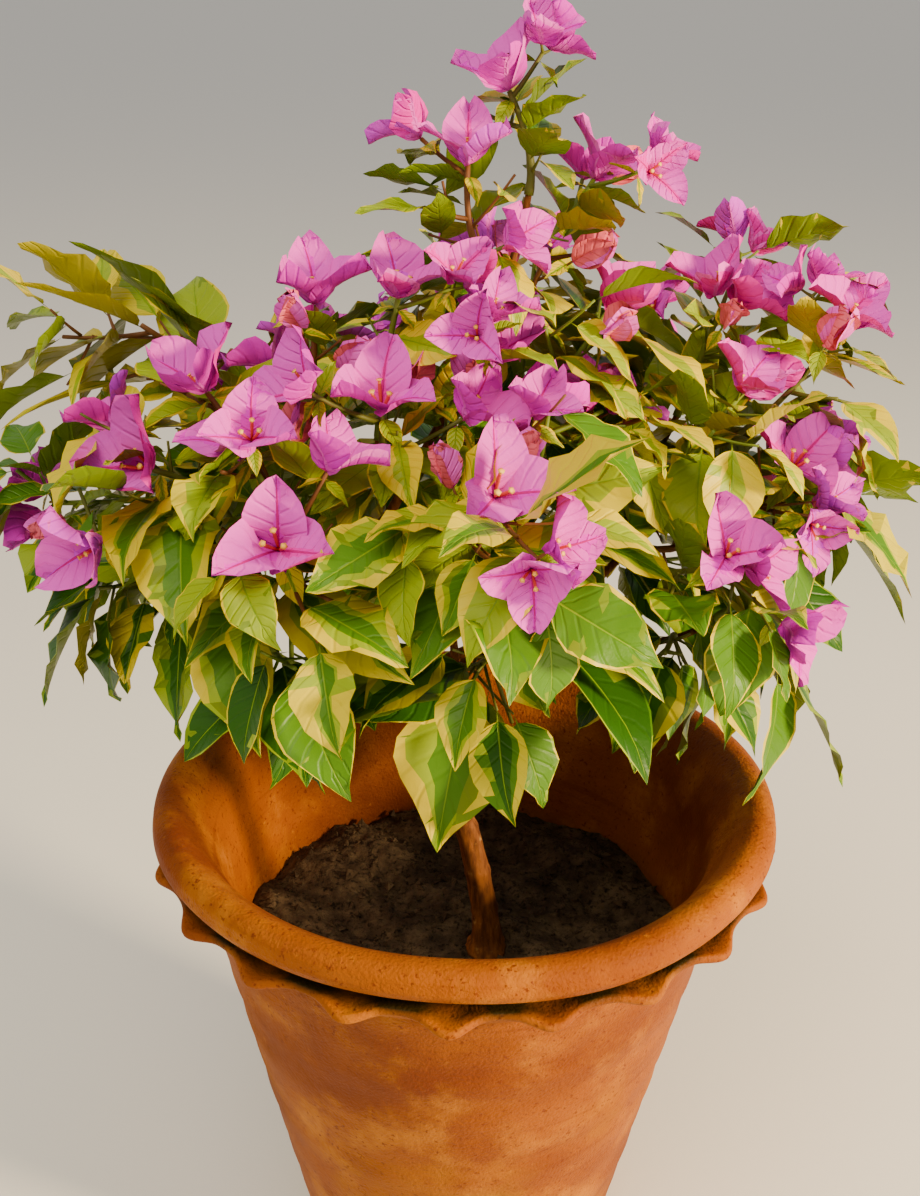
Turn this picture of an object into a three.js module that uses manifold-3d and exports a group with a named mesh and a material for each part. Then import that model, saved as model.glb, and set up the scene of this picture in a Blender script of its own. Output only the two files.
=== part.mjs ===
// Bougainvillea bush with variegated leaves, growing in a terracotta pot with a rolled rim.
// Millimetres, +Z up. The origin is the centre of the pot's flat underside and -Y is the front.
import * as THREE from "three";
import { mergeVertices } from "three/addons/utils/BufferGeometryUtils.js";
import Module from "manifold-3d";

const wasm = await Module();
wasm.setup();

const V = (x, y, z) => new THREE.Vector3(x, y, z);
const UP = V(0, 0, 1);
const GAP = 0.3; // between two solids that meet
const GOLDEN_ANGLE = Math.PI * (3 - Math.sqrt(5));

// The pot is thrown as one piece: a tapering wall, a rolled rim and a crimped band under the roll.
const POT = {
  baseRadius: 89.7,
  wallSlope: 0.211, // radius gained for each millimetre of height
  wall: 12,
  floor: 14,
  neckHeight: 296,
  rollCentreRadius: 165,
  rollCentreHeight: 318,
  rollRadius: 10,
  segments: 36,
};
const BAND = {
  waves: 21,
  phase: 0.73,
  edgeRadius: 169.5,
  swing: 5.5,
  edgeHeight: 300,
  rise: 1.2,
  thickness: 5,
};
const DRAIN = { count: 3, radius: 6, ringRadius: 45 };
const SOIL = { height: 233, relief: 5, flatRadius: 18, rings: 6, segments: 28 };

// The trunk leans to the left as it rises from the soil to its fork.
const TRUNK = {
  path: [V(14, -30, SOIL.height + GAP), V(14, -30, 275), V(0, -34, 350), V(-46, -20, 405)],
  footRadius: 7.6,
  forkRadius: 5.2,
  flare: 4.2, // extra radius of the root flare at the soil
  flareHeight: 9,
  sides: 10,
  steps: 12,
};

// Boughs: parent limb, place along it (1 is its tip), end point and the radii at foot and tip.
const BOUGHS = [
  ["bough_leader", "trunk", 1, V(26, 12, 652), 3.6, 1.6],
  ["bough_left", "trunk", 0.9, V(-118, -42, 498), 3.2, 1.9],
  ["bough_right", "trunk", 0.95, V(88, -12, 486), 3.4, 1.9],
  ["bough_front", "trunk", 0.76, V(-8, -72, 478), 2.9, 1.8],
  ["bough_back", "trunk", 0.8, V(8, 98, 492), 3.2, 1.8],
  ["bough_left_rear", "trunk", 0.84, V(-116, 34, 512), 2.9, 1.8],
  ["bough_centre", "bough_leader", 0.14, V(-46, -22, 538), 2.6, 1.7],
  ["bough_front_left", "bough_left", 0.2, V(-80, -72, 462), 2.4, 1.7],
  ["bough_right_rear", "bough_right", 0.45, V(112, 46, 532), 2.5, 1.7],
  ["bough_right_low", "bough_right", 0.6, V(132, -4, 432), 2.3, 1.7],
  ["bough_back_right", "bough_back", 0.36, V(86, 104, 466), 2.5, 1.7],
  ["bough_back_left", "bough_back", 0.5, V(-80, 104, 470), 2.4, 1.7],
];
const BOUGH = { sides: 6, stepLength: 26 };

// Sprays: bough, place along it, tip, and then the blossoms, side twigs, leaf scale and sag.
const SPRAYS = [
  ["spray_top", "bough_leader", 1, V(15, 15, 697), 2, 2, 0.6, -0.3],
  ["spray_top_left", "bough_leader", 0.88, V(-4, 5, 664), 2, 2, 0.6, -0.2],
  ["spray_top_right", "bough_leader", 0.93, V(58, 24, 656), 3, 3, 0.6, -0.2],
  ["spray_upper_left", "bough_leader", 0.74, V(-6, -8, 626), 2, 2, 0.7, -0.1],
  ["spray_upper_right", "bough_leader", 0.78, V(38, 26, 622), 1, 2, 0.8, 0],
  ["spray_middle_right", "bough_leader", 0.6, V(68, 20, 592), 1, 3, 0.9, 0.1],
  ["spray_middle", "bough_leader", 0.5, V(6, -22, 574), 2, 3, 0.85, 0.1],
  ["spray_centre_left", "bough_centre", 0.85, V(-75, -22, 602), 2, 2, 0.7, -0.1],
  ["spray_centre_top", "bough_centre", 1, V(-36, -24, 606), 3, 2, 0.7, -0.1],
  ["spray_centre_front", "bough_centre", 0.75, V(-42, -62, 562), 3, 3, 0.85, 0.1],
  ["spray_front", "bough_front", 1, V(10, -104, 536), 3, 3, 0.95, 0.1],
  ["spray_front_upper", "bough_front", 0.85, V(36, -44, 556), 1, 3, 0.9, 0.1],
  ["spray_front_low", "bough_front", 0.7, V(14, -98, 462), 0, 4, 1.2, 0.7],
  ["spray_front_left", "bough_front_left", 1, V(-86, -106, 510), 2, 3, 0.9, 0.2],
  ["spray_front_left_low", "bough_front_left", 0.7, V(-112, -92, 470), 0, 4, 1.15, 0.7],
  ["spray_left", "bough_left", 1, V(-150, -62, 532), 3, 3, 0.85, 0.1],
  ["spray_left_upper", "bough_left", 0.88, V(-126, -42, 564), 1, 2, 0.8, 0],
  ["spray_left_front", "bough_left", 0.7, V(-104, -68, 542), 2, 3, 0.85, 0.1],
  ["spray_left_low", "bough_left", 0.82, V(-196, 4, 452), 0, 4, 1, 0.6],
  ["spray_left_high", "bough_left_rear", 1, V(-166, 8, 584), 0, 3, 0.95, 0],
  ["spray_left_far", "bough_left_rear", 0.9, V(-232, 46, 474), 1, 3, 0.85, 0.4],
  ["spray_left_rear", "bough_left_rear", 0.75, V(-134, 92, 520), 1, 3, 0.95, 0.2],
  ["spray_right_inner", "bough_right", 0.78, V(64, 2, 542), 1, 3, 0.85, 0.1],
  ["spray_right_upper", "bough_right", 1, V(136, 10, 550), 1, 3, 0.85, 0.1],
  ["spray_right_front", "bough_right", 0.9, V(124, -66, 490), 2, 4, 0.95, 0.3],
  ["spray_right", "bough_right", 0.96, V(166, -4, 516), 3, 4, 0.9, 0.2],
  ["spray_right_high", "bough_right_rear", 1, V(130, 44, 590), 2, 3, 0.8, 0],
  ["spray_right_far", "bough_right_rear", 0.9, V(190, 26, 584), 2, 3, 0.75, 0],
  ["spray_right_rear", "bough_right_rear", 0.7, V(186, 70, 500), 1, 3, 0.95, 0.3],
  ["spray_right_low", "bough_right_low", 1, V(172, -12, 408), 0, 4, 1.1, 0.8],
  ["spray_right_low_front", "bough_right_low", 0.75, V(98, -62, 440), 0, 4, 1.1, 0.7],
  ["spray_back", "bough_back", 1, V(10, 150, 560), 2, 3, 0.95, 0.1],
  ["spray_back_upper", "bough_back", 0.85, V(34, 92, 604), 2, 3, 0.85, 0],
  ["spray_back_low", "bough_back", 0.7, V(14, 168, 450), 1, 3, 1.1, 0.6],
  ["spray_back_right", "bough_back_right", 1, V(116, 148, 520), 2, 3, 0.95, 0.2],
  ["spray_back_right_low", "bough_back_right", 0.75, V(146, 118, 420), 0, 4, 1.1, 0.7],
  ["spray_back_left", "bough_back_left", 1, V(-92, 148, 536), 2, 3, 0.95, 0.2],
  ["spray_back_left_low", "bough_back_left", 0.75, V(-126, 126, 424), 1, 4, 1.1, 0.7],
];
const STEM = { footRadius: 2, tipRadius: 1.4, steps: 4 };
const TWIG = { footRadius: 1.4, tipRadius: 1.1, steps: 1, length: 48, attempts: 3 };
const LEAF = { length: 70, width: 40, thickness: 1.4, sunk: 0.3, fold: 0.16, droop: 0.14, attempts: 2 };
const BRACT = { length: 38, width: 29, thickness: 1.4, sunk: 2.5, splay: 0.78, cup: 0.16 };
const bractScale = (leafScale) => 0.45 + 0.5 * leafScale; // blossoms shrink with the leaves
const CLEAR = { mass: 4.5, own: 3, limb: 4 }; // least distance between sampled points of two pieces

// Leaves hang down to this height, which rises past an oval of the given radius, less deep than wide.
const UNDERSIDE = { height: 364, radius: 146, slope: 0.5, narrower: 1.35, twigs: 22 };

// Leaves that stand out at the edge of the crown: spray, place on its stem, leaf tip, length, width.
const EDGE_LEAVES = [
  ["spray_left_high", 0.95, V(-218, -30, 616), 76, 30],
  ["spray_left_high", 0.7, V(-192, 8, 630), 66, 34],
  ["spray_left_high", 0.5, V(-230, -28, 552), 78, 22],
  ["spray_left", 0.7, V(-128, -136, 482), 72, 44],
  ["spray_front_left_low", 1, V(-106, -138, 420), 66, 42],
  ["spray_front_low", 0.55, V(-12, -116, 354), 86, 54],
  ["spray_front_low", 0.95, V(34, -98, 416), 58, 36],
  ["spray_front_low", 0.75, V(28, -66, 356), 50, 28],
  ["spray_front", 0.5, V(88, -128, 446), 74, 44],
  ["spray_front_left", 0.4, V(-50, -84, 398), 58, 34],
  ["spray_front_left_low", 0.6, V(-87, -64, 350), 62, 30],
  ["spray_front_left_low", 0.75, V(-134, -78, 400), 60, 32],
  ["spray_left_low", 0.5, V(-150, -60, 384), 66, 34],
  ["spray_left_low", 0.8, V(-186, -24, 394), 58, 30],
  ["spray_left_low", 0.98, V(-210, -6, 416), 46, 24],
  ["spray_left_far", 0.8, V(-226, 18, 440), 48, 24],
  ["spray_left_far", 0.6, V(-256, 92, 462), 50, 20],
  ["spray_right_low_front", 0.95, V(104, -62, 376), 64, 36],
  ["spray_right_low_front", 0.9, V(80, -66, 380), 56, 32],
  ["spray_right_low_front", 0.5, V(112, -32, 354), 62, 34],
  ["spray_right_low", 0.25, V(138, -40, 372), 56, 30],
  ["spray_right_low", 0.8, V(168, -36, 338), 74, 38],
  ["spray_right_low", 1, V(216, -20, 344), 76, 38],
  ["spray_right_low", 0.45, V(192, 30, 352), 56, 30],
  ["spray_right_rear", 0.9, V(252, 30, 420), 78, 40],
  ["spray_right_far", 0.9, V(228, 12, 558), 46, 22],
];

// A repeatable stream of numbers from 0 to 1 (the minimal standard generator).
function stream(seed) {
  let state = seed;
  return () => {
    state = (state * 48271) % 2147483647;
    return state / 2147483647;
  };
}

function toSolid(geometry) {
  geometry.deleteAttribute("normal");
  geometry.deleteAttribute("uv");
  const merged = mergeVertices(geometry, 1e-4);
  const vertProperties = merged.attributes.position.array;
  const triVerts = new Uint32Array(merged.index.array);
  return new wasm.Manifold(new wasm.Mesh({ numProp: 3, vertProperties, triVerts }));
}

function shell(points, faces) {
  const vertProperties = new Float32Array(points.flatMap((p) => [p.x, p.y, p.z]));
  const triVerts = new Uint32Array(faces.flat());
  return new wasm.Manifold(new wasm.Mesh({ numProp: 3, vertProperties, triVerts }));
}

function toGeometry(solid) {
  const mesh = solid.getMesh();
  const geometry = new THREE.BufferGeometry();
  geometry.setAttribute("position", new THREE.BufferAttribute(mesh.vertProperties, 3));
  geometry.setIndex(new THREE.BufferAttribute(mesh.triVerts, 1));
  const flat = geometry.toNonIndexed();
  flat.computeVertexNormals();
  return flat;
}

// A direction square to axis, as near to wanted as it can be.
function squareTo(axis, wanted) {
  const square = wanted.clone().addScaledVector(axis, -wanted.dot(axis));
  if (square.length() > 1e-3) return square.normalize();
  return squareTo(axis, V(1, 0.2, 0));
}

// Point of a cubic or quadratic curve through its control points, by repeated halving between them.
function curvePoint(controls, t) {
  let level = controls;
  while (level.length > 1) {
    level = level.slice(1).map((p, i) => level[i].clone().lerp(p, t));
  }
  return level[0];
}

function curveTangent(controls, t) {
  const ahead = curvePoint(controls, Math.min(1, t + 0.01));
  return ahead.sub(curvePoint(controls, Math.max(0, t - 0.01))).normalize();
}

// Point and direction at t on the straight steps that a tube takes along its curve.
function alongTube({ controls, steps }, t) {
  const step = Math.min(steps - 1, Math.floor(t * steps));
  const before = curvePoint(controls, step / steps);
  const after = curvePoint(controls, (step + 1) / steps);
  const axis = after.clone().sub(before).normalize();
  return { point: before.lerp(after, t * steps - step), axis };
}

// A closed tapering tube of flat sides along a curve; its first end is square to startAxis.
function tube(controls, steps, sides, radiusAt, startAxis) {
  const points = [];
  let side = null;
  for (let i = 0; i <= steps; i++) {
    const t = i / steps;
    const axis = i === 0 && startAxis ? startAxis : curveTangent(controls, t);
    side = squareTo(axis, side || UP);
    const other = axis.clone().cross(side);
    for (let k = 0; k < sides; k++) {
      const angle = (2 * Math.PI * k) / sides;
      const point = curvePoint(controls, t);
      point.addScaledVector(side, radiusAt(t) * Math.cos(angle));
      point.addScaledVector(other, radiusAt(t) * Math.sin(angle));
      points.push(point);
    }
  }
  const faces = [];
  const at = (i, k) => i * sides + (k % sides);
  for (let i = 0; i < steps; i++) {
    for (let k = 0; k < sides; k++) {
      faces.push([at(i, k), at(i, k + 1), at(i + 1, k + 1)]);
      faces.push([at(i, k), at(i + 1, k + 1), at(i + 1, k)]);
    }
  }
  for (let k = 1; k < sides - 1; k++) {
    faces.push([0, k + 1, k]);
    faces.push([at(steps, 0), at(steps, k), at(steps, k + 1)]);
  }
  return shell(points, faces);
}

// A thin blade: its outline goes round an upper and a lower middle point that its thickness parts.
function blade(outline, middle, face, thickness) {
  const upper = middle.clone().addScaledVector(face, thickness / 2);
  const lower = middle.clone().addScaledVector(face, -thickness / 2);
  return star(outline, upper, lower);
}

function star(outline, upper, lower) {
  const count = outline.length;
  const faces = [];
  for (let i = 0; i < count; i++) {
    const next = (i + 1) % count;
    faces.push([count, i, next]);
    faces.push([count + 1, next, i]);
  }
  return shell([...outline, upper, lower], faces);
}

// A leaf from its base: wide near the foot, folded up along the midrib, with a sagging pointed tip.
function leafShape(base, along, face, length, width) {
  const across = along.clone().cross(face);
  const at = (u, v, w) =>
    base.clone().addScaledVector(along, u).addScaledVector(across, v).addScaledVector(face, w);
  const fold = width * LEAF.fold;
  const droop = length * LEAF.droop;
  const outline = [
    at(-LEAF.sunk, 0, 0),
    at(0.34 * length, width / 2, fold),
    at(0.7 * length, 0.28 * width, 0.5 * fold - 0.4 * droop),
    at(length, 0, -droop),
    at(0.7 * length, -0.28 * width, 0.5 * fold - 0.4 * droop),
    at(0.34 * length, -width / 2, fold),
  ];
  const samples = [];
  for (let u = 0.12 * length; u <= length; u += 4.5) {
    const s = u / length;
    const half = s < 0.34 ? (s / 0.34) * 0.5 * width : ((1 - s) / 0.66) * 0.53 * width;
    const columns = Math.max(1, Math.ceil(half / 4.5));
    for (let k = -columns; k <= columns; k++) {
      const v = (half * k) / columns;
      samples.push(at(u, v, (fold * Math.abs(v) * 2) / width - droop * s * s));
    }
  }
  for (const p of samples) p.away = p.distanceTo(base) > 14;
  const solid = blade(outline, at(0.44 * length, 0, -0.1 * droop), face, LEAF.thickness);
  return { solid, samples };
}

// Three pointed bracts that open round the end of a twig like a papery cup, as one thin star.
function blossomShape(base, axis, turn, scale) {
  const side = squareTo(axis, UP);
  const other = axis.clone().cross(side);
  const length = BRACT.length * scale;
  const width = BRACT.width * scale;
  const at = (angle, out, across, up) =>
    base
      .clone()
      .addScaledVector(side, out * Math.cos(angle) - across * Math.sin(angle))
      .addScaledVector(other, out * Math.sin(angle) + across * Math.cos(angle))
      .addScaledVector(axis, up);
  const outLength = length * Math.sin(BRACT.splay);
  const upLength = length * Math.cos(BRACT.splay);
  const outline = [];
  const samples = [];
  for (let k = 0; k < 3; k++) {
    const angle = turn + (2 * Math.PI * k) / 3;
    outline.push(at(angle, 0.45 * outLength, -width / 2, (0.45 + BRACT.cup) * upLength));
    outline.push(at(angle, outLength, 0, upLength));
    outline.push(at(angle, 0.45 * outLength, width / 2, (0.45 + BRACT.cup) * upLength));
    outline.push(at(angle + Math.PI / 3, 0.14 * outLength, 0, 0.14 * upLength));
    for (let u = 4; u <= length; u += 4.5) {
      const s = u / length;
      const half = 0.5 * width * Math.min(s / 0.45, (1 - s) / 0.55);
      const columns = Math.max(1, Math.ceil(half / 4.5));
      for (let c = -columns; c <= columns; c++) {
        samples.push(at(angle, s * outLength, (half * c) / columns, s * upLength));
      }
    }
  }
  const sunk = base.clone().addScaledVector(axis, -BRACT.sunk);
  return { solid: star(outline, base.clone().addScaledVector(axis, 0.5), sunk), samples };
}

// The space already taken, as sampled points in cells, so that each mass keeps to its own.
const CELL = 12;
const taken = new Map();
const cellKey = (x, y, z) => x + "," + y + "," + z;

function occupy(samples, owner, kind) {
  for (const p of samples) {
    const key = cellKey(Math.floor(p.x / CELL), Math.floor(p.y / CELL), Math.floor(p.z / CELL));
    if (!taken.has(key)) taken.set(key, []);
    taken.get(key).push({ p, owner, kind });
  }
}

function clearanceTo(entry, p, owner, kind) {
  if (entry.owner !== owner) return entry.kind === "limb" ? CLEAR.limb : CLEAR.mass;
  if (entry.kind === "stem" && (kind === "stem" || !p.away)) return 0;
  return CLEAR.own;
}

function nearPot(p) {
  const radius = Math.hypot(p.x, p.y);
  const rim = Math.hypot(radius - POT.rollCentreRadius, p.z - POT.rollCentreHeight);
  return rim < POT.rollRadius + 6 || p.z < SOIL.height + 40 || (radius > 130 && p.z < 318);
}

function isFree(samples, owner, kind) {
  return samples.every((p) => {
    if (nearPot(p)) return false;
    const [cx, cy, cz] = [p.x, p.y, p.z].map((value) => Math.floor(value / CELL));
    for (let i = -1; i <= 1; i++) {
      for (let j = -1; j <= 1; j++) {
        for (let k = -1; k <= 1; k++) {
          for (const entry of taken.get(cellKey(cx + i, cy + j, cz + k)) || []) {
            if (entry.p.distanceTo(p) < clearanceTo(entry, p, owner, kind)) return false;
          }
        }
      }
    }
    return true;
  });
}

function curveSamples(controls, from = 0) {
  const count = Math.ceil(controls[0].distanceTo(controls.at(-1)) / 3);
  return Array.from({ length: count + 1 }, (_, i) => {
    return curvePoint(controls, from + ((1 - from) * i) / count);
  });
}

// Pot: the turned body with the crimped band joined on and the drain holes cut through its floor.
function makePot() {
  const outer = (z) => POT.baseRadius + POT.wallSlope * z;
  const roll = (degrees) => {
    const angle = THREE.MathUtils.degToRad(degrees);
    const radius = POT.rollCentreRadius + POT.rollRadius * Math.cos(angle);
    return new THREE.Vector2(radius, POT.rollCentreHeight + POT.rollRadius * Math.sin(angle));
  };
  const profile = [
    new THREE.Vector2(0, 0),
    new THREE.Vector2(POT.baseRadius - 3, 0),
    new THREE.Vector2(outer(4), 4),
    new THREE.Vector2(outer(150), 150),
    new THREE.Vector2(outer(POT.neckHeight), POT.neckHeight),
    roll(-130),
    ...[-90, -55, -20, 15, 50, 85, 120].map(roll),
    new THREE.Vector2(outer(POT.neckHeight) - 2, 316),
    new THREE.Vector2(outer(POT.neckHeight) - POT.wall, POT.neckHeight),
    new THREE.Vector2(outer(150) - POT.wall, 150),
    new THREE.Vector2(outer(POT.floor) - POT.wall, POT.floor),
    new THREE.Vector2(0, POT.floor),
  ];
  let pot = toSolid(new THREE.LatheGeometry(profile, POT.segments).rotateX(Math.PI / 2));
  pot = pot.add(makeBand(outer));
  for (let i = 0; i < DRAIN.count; i++) {
    const angle = (2 * Math.PI * i) / DRAIN.count + Math.PI / 6;
    const hole = new THREE.CylinderGeometry(DRAIN.radius, DRAIN.radius, 3 * POT.floor, 12);
    hole.rotateX(Math.PI / 2);
    hole.translate(DRAIN.ringRadius * Math.cos(angle), DRAIN.ringRadius * Math.sin(angle), 0);
    pot = pot.subtract(toSolid(hole));
  }
  return pot;
}

// The band is a ring crimped into pointed lobes that stand out, with wide bays between them.
function makeBand(outer) {
  const columns = BAND.waves * 4;
  const points = [];
  for (let i = 0; i < columns; i++) {
    const turn = (Math.PI * i) / 2;
    const angle = (turn + BAND.phase) / BAND.waves;
    const wave = Math.cos(turn) - 0.18 * Math.cos(2 * turn);
    const edge = BAND.edgeRadius - BAND.swing * wave;
    const height = BAND.edgeHeight + BAND.rise * wave;
    const section = [
      [outer(280) - 5, 280],
      [edge - 1.5, height - BAND.thickness / 2],
      [edge, height + BAND.thickness / 2],
      [outer(300) - 5, 304],
    ];
    for (const [r, z] of section) points.push(V(r * Math.cos(angle), r * Math.sin(angle), z));
  }
  const faces = [];
  for (let i = 0; i < columns; i++) {
    for (let k = 0; k < 4; k++) {
      const here = i * 4;
      const next = ((i + 1) % columns) * 4;
      const up = (k + 1) % 4;
      faces.push([here + k, next + k, next + up]);
      faces.push([here + k, next + up, here + up]);
    }
  }
  return shell(points, faces);
}

// Soil: a filled bore with a gently uneven top that is flat round the trunk's foot.
function makeSoil() {
  const boreRadius = (z) => POT.baseRadius + POT.wallSlope * z - POT.wall - 2 * GAP;
  const foot = TRUNK.path[0];
  const reliefAt = (x, y) => {
    const away = Math.hypot(x - foot.x, y - foot.y);
    const fade = THREE.MathUtils.clamp((away - SOIL.flatRadius) / 30, 0, 1);
    const lumps = Math.sin(x * 0.045 + 1.3) * Math.cos(y * 0.05) + Math.sin((x + y) * 0.11) * 0.4;
    return fade * SOIL.relief * lumps;
  };
  const points = [V(0, 0, POT.floor + GAP)];
  const ring = (radius, height) => {
    for (let k = 0; k < SOIL.segments; k++) {
      const angle = (2 * Math.PI * k) / SOIL.segments;
      const x = radius * Math.cos(angle);
      const y = radius * Math.sin(angle);
      points.push(V(x, y, height === null ? SOIL.height + reliefAt(x, y) : height));
    }
  };
  ring(boreRadius(POT.floor), POT.floor + GAP);
  for (let i = SOIL.rings; i > 0; i--) {
    ring((boreRadius(SOIL.height - SOIL.relief) * i) / SOIL.rings, null);
  }
  points.push(V(0, 0, SOIL.height + reliefAt(0, 0)));
  const faces = [];
  const count = SOIL.segments;
  for (let k = 0; k < count; k++) {
    const next = (k + 1) % count;
    faces.push([0, 1 + next, 1 + k]);
    for (let row = 0; row < SOIL.rings; row++) {
      const low = 1 + row * count;
      faces.push([low + k, low + next, low + count + next]);
      faces.push([low + k, low + count + next, low + count + k]);
    }
    const last = 1 + SOIL.rings * count;
    faces.push([last + k, last + next, points.length - 1]);
  }
  return shell(points, faces);
}

const bush = new THREE.Group();
bush.name = "bougainvillea_bush";

function addMesh(name, solid, color, roughness) {
  const material = new THREE.MeshStandardMaterial({ color, roughness, metalness: 0 });
  const mesh = new THREE.Mesh(toGeometry(solid), material);
  mesh.name = name;
  bush.add(mesh);
}

addMesh("pot", makePot(), 0xb5602c, 0.85);
addMesh("soil", makeSoil(), 0x3a2a20, 1);

// Limbs by name, each with its curve, the number of straight steps in it and its radius along it.
const limbs = new Map();

function addLimb(name, controls, radiusAt, sides, steps, startAxis) {
  limbs.set(name, { controls, steps, radiusAt });
  occupy(curveSamples(controls), name, "limb");
  addMesh(name, tube(controls, steps, sides, radiusAt, startAxis), 0x6e4a2c, 0.9);
}

const trunkRadius = (t) => {
  const height = 0.85 * t * (405 - SOIL.height);
  const taper = TRUNK.footRadius + (TRUNK.forkRadius - TRUNK.footRadius) * t;
  return taper + TRUNK.flare * Math.exp(-height / TRUNK.flareHeight);
};
addLimb("trunk", TRUNK.path, trunkRadius, TRUNK.sides, TRUNK.steps, UP);

// Where a branch leaves its parent: past the parent's tip, or square out of its side.
function branchFoot(parent, place, target) {
  if (place === 1) {
    const end = curveTangent(parent.controls, 1);
    return { foot: curvePoint(parent.controls, 1).addScaledVector(end, GAP), axis: end };
  }
  const { point, axis } = alongTube(parent, place);
  const out = squareTo(axis, target.clone().sub(point));
  return { foot: point.addScaledVector(out, parent.radiusAt(place) + GAP), axis: out };
}

for (const [name, parentName, place, tip, footRadius, tipRadius] of BOUGHS) {
  const { foot, axis } = branchFoot(limbs.get(parentName), place, tip);
  const reach = foot.distanceTo(tip);
  const controls = [
    foot,
    foot.clone().addScaledVector(axis, 0.28 * reach),
    tip.clone().addScaledVector(UP, -0.3 * reach).lerp(foot, 0.25),
    tip,
  ];
  const radiusAt = (t) => footRadius + (tipRadius - footRadius) * t;
  addLimb(name, controls, radiusAt, BOUGH.sides, Math.ceil(reach / BOUGH.stepLength), axis);
}

// Each spray starts as a stem from its bough; the stems are placed first so that all keep clear.
const sprays = SPRAYS.map(([name, bough, place, tip, blossoms, twigs, leafScale, sag], index) => {
  const { foot, axis } = branchFoot(limbs.get(bough), place, tip);
  const reach = foot.distanceTo(tip);
  const bend = foot.clone().addScaledVector(axis, 0.4 * reach);
  bend.addScaledVector(UP, 0.2 * reach * Math.max(sag, 0));
  const controls = [foot, bend, tip];
  const radiusAt = (t) => STEM.footRadius + (STEM.tipRadius - STEM.footRadius) * t;
  const solids = [tube(controls, STEM.steps, 3, radiusAt, axis)];
  occupy(curveSamples(controls, 0.04), name, "stem");
  const random = stream(1000 + 37 * index);
  const stem = { controls, steps: STEM.steps };
  return { name, stem, tip, blossoms, twigs, leafScale, sag, solids, random };
});
const sprayNamed = (name) => sprays.find((spray) => spray.name === name);

function undersideAt(p) {
  const past = Math.max(0, Math.hypot(p.x, UNDERSIDE.narrower * p.y) - UNDERSIDE.radius);
  return UNDERSIDE.height + UNDERSIDE.slope * past;
}

// A leaf's upper side faces the sky and, where it hangs, outwards.
function addLeaf(spray, base, along, length, width, roll) {
  const outward = V(base.x, base.y, 0).normalize();
  const wanted = UP.clone().addScaledVector(outward, 0.35);
  const face = squareTo(along, wanted).applyAxisAngle(along, roll);
  const { solid, samples } = leafShape(base, along, face, length, width);
  if (roll !== 0 && samples.some((p) => p.z < undersideAt(p))) return false;
  if (!isFree(samples, spray.name, "blade")) return false;
  occupy(samples, spray.name, "blade");
  spray.solids.push(solid);
  return true;
}

function twigIsFree(spray, controls) {
  const samples = curveSamples(controls, 0.15);
  if (!isFree(samples, spray.name, "stem")) return false;
  occupy(samples, spray.name, "stem");
  return true;
}

function twigSolid(controls) {
  const radiusAt = (t) => TWIG.footRadius + (TWIG.tipRadius - TWIG.footRadius) * t;
  return tube(controls, TWIG.steps, 3, radiusAt);
}

function addBlossom(spray, base, axis, scale) {
  const { solid, samples } = blossomShape(base, axis, spray.random() * 2, scale);
  if (!isFree(samples, spray.name, "blade")) return false;
  occupy(samples, spray.name, "blade");
  spray.solids.push(solid);
  return true;
}

// The blossom at the end of a stem opens along it, a little upwards and to the front.
for (const spray of sprays) {
  const aim = alongTube(spray.stem, 1).axis.add(V(0, -0.3, 0.25)).normalize();
  if (spray.blossoms > 0) addBlossom(spray, spray.tip, aim, bractScale(spray.leafScale));
}

for (const [name, place, tip, length, width] of EDGE_LEAVES) {
  const spray = sprayNamed(name);
  const start = alongTube(spray.stem, place).point;
  const along = tip.clone().sub(start).normalize();
  along.addScaledVector(UP, 0.5 * LEAF.droop).normalize();
  const base = tip.clone().addScaledVector(along, -length);
  base.addScaledVector(squareTo(along, UP), length * LEAF.droop);
  const stalk = [start, base];
  const away = start.distanceTo(base) > 8;
  if (away && !twigIsFree(spray, stalk)) continue;
  const grown = addLeaf(spray, away ? base : start, along, length, width, 0);
  if (away && grown) spray.solids.push(twigSolid(stalk));
}

// Side twigs leave the stem at the golden angle and end in a blossom or a leaf.
function growTwigs(spray) {
  let left = spray.blossoms - 1;
  const turn = spray.random() * 6;
  spray.ends = [{ line: spray.stem, from: 0.3, leaves: 5, head: spray.blossoms > 0 }];
  for (let j = 0; j < spray.twigs; j++) {
    const place = 0.94 - (0.55 * j) / spray.twigs;
    const { point: start, axis } = alongTube(spray.stem, place);
    const radial = squareTo(axis, UP).applyAxisAngle(axis, turn + j * GOLDEN_ANGLE);
    const length = TWIG.length * spray.leafScale * (0.7 + 0.5 * spray.random());
    const scale = bractScale(spray.leafScale) * (0.75 + 0.2 * spray.random());
    for (let attempt = 0; attempt < TWIG.attempts; attempt++) {
      const out = axis.clone().multiplyScalar(0.4);
      out.addScaledVector(radial.applyAxisAngle(axis, 1.9 * attempt), 0.9).normalize();
      out.addScaledVector(UP, left > 0 ? 0.2 : -0.3 * spray.sag).normalize();
      const end = start.clone().addScaledVector(out, length);
      const controls = [start, end];
      const aim = out.clone().add(V(0, -0.2, 0.4)).normalize();
      const blossom = blossomShape(end, aim, spray.random() * 2, scale);
      if (left > 0 && !isFree(blossom.samples, spray.name, "blade")) continue;
      if (end.z < undersideAt(end) + UNDERSIDE.twigs) continue;
      if (!twigIsFree(spray, controls)) continue;
      if (left > 0) {
        occupy(blossom.samples, spray.name, "blade");
        spray.solids.push(blossom.solid, twigSolid(controls));
      }
      const line = { controls, steps: TWIG.steps };
      spray.ends.push({ line, from: 0.45, leaves: 2, head: left > 0 });
      left -= 1;
      break;
    }
  }
}

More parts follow.
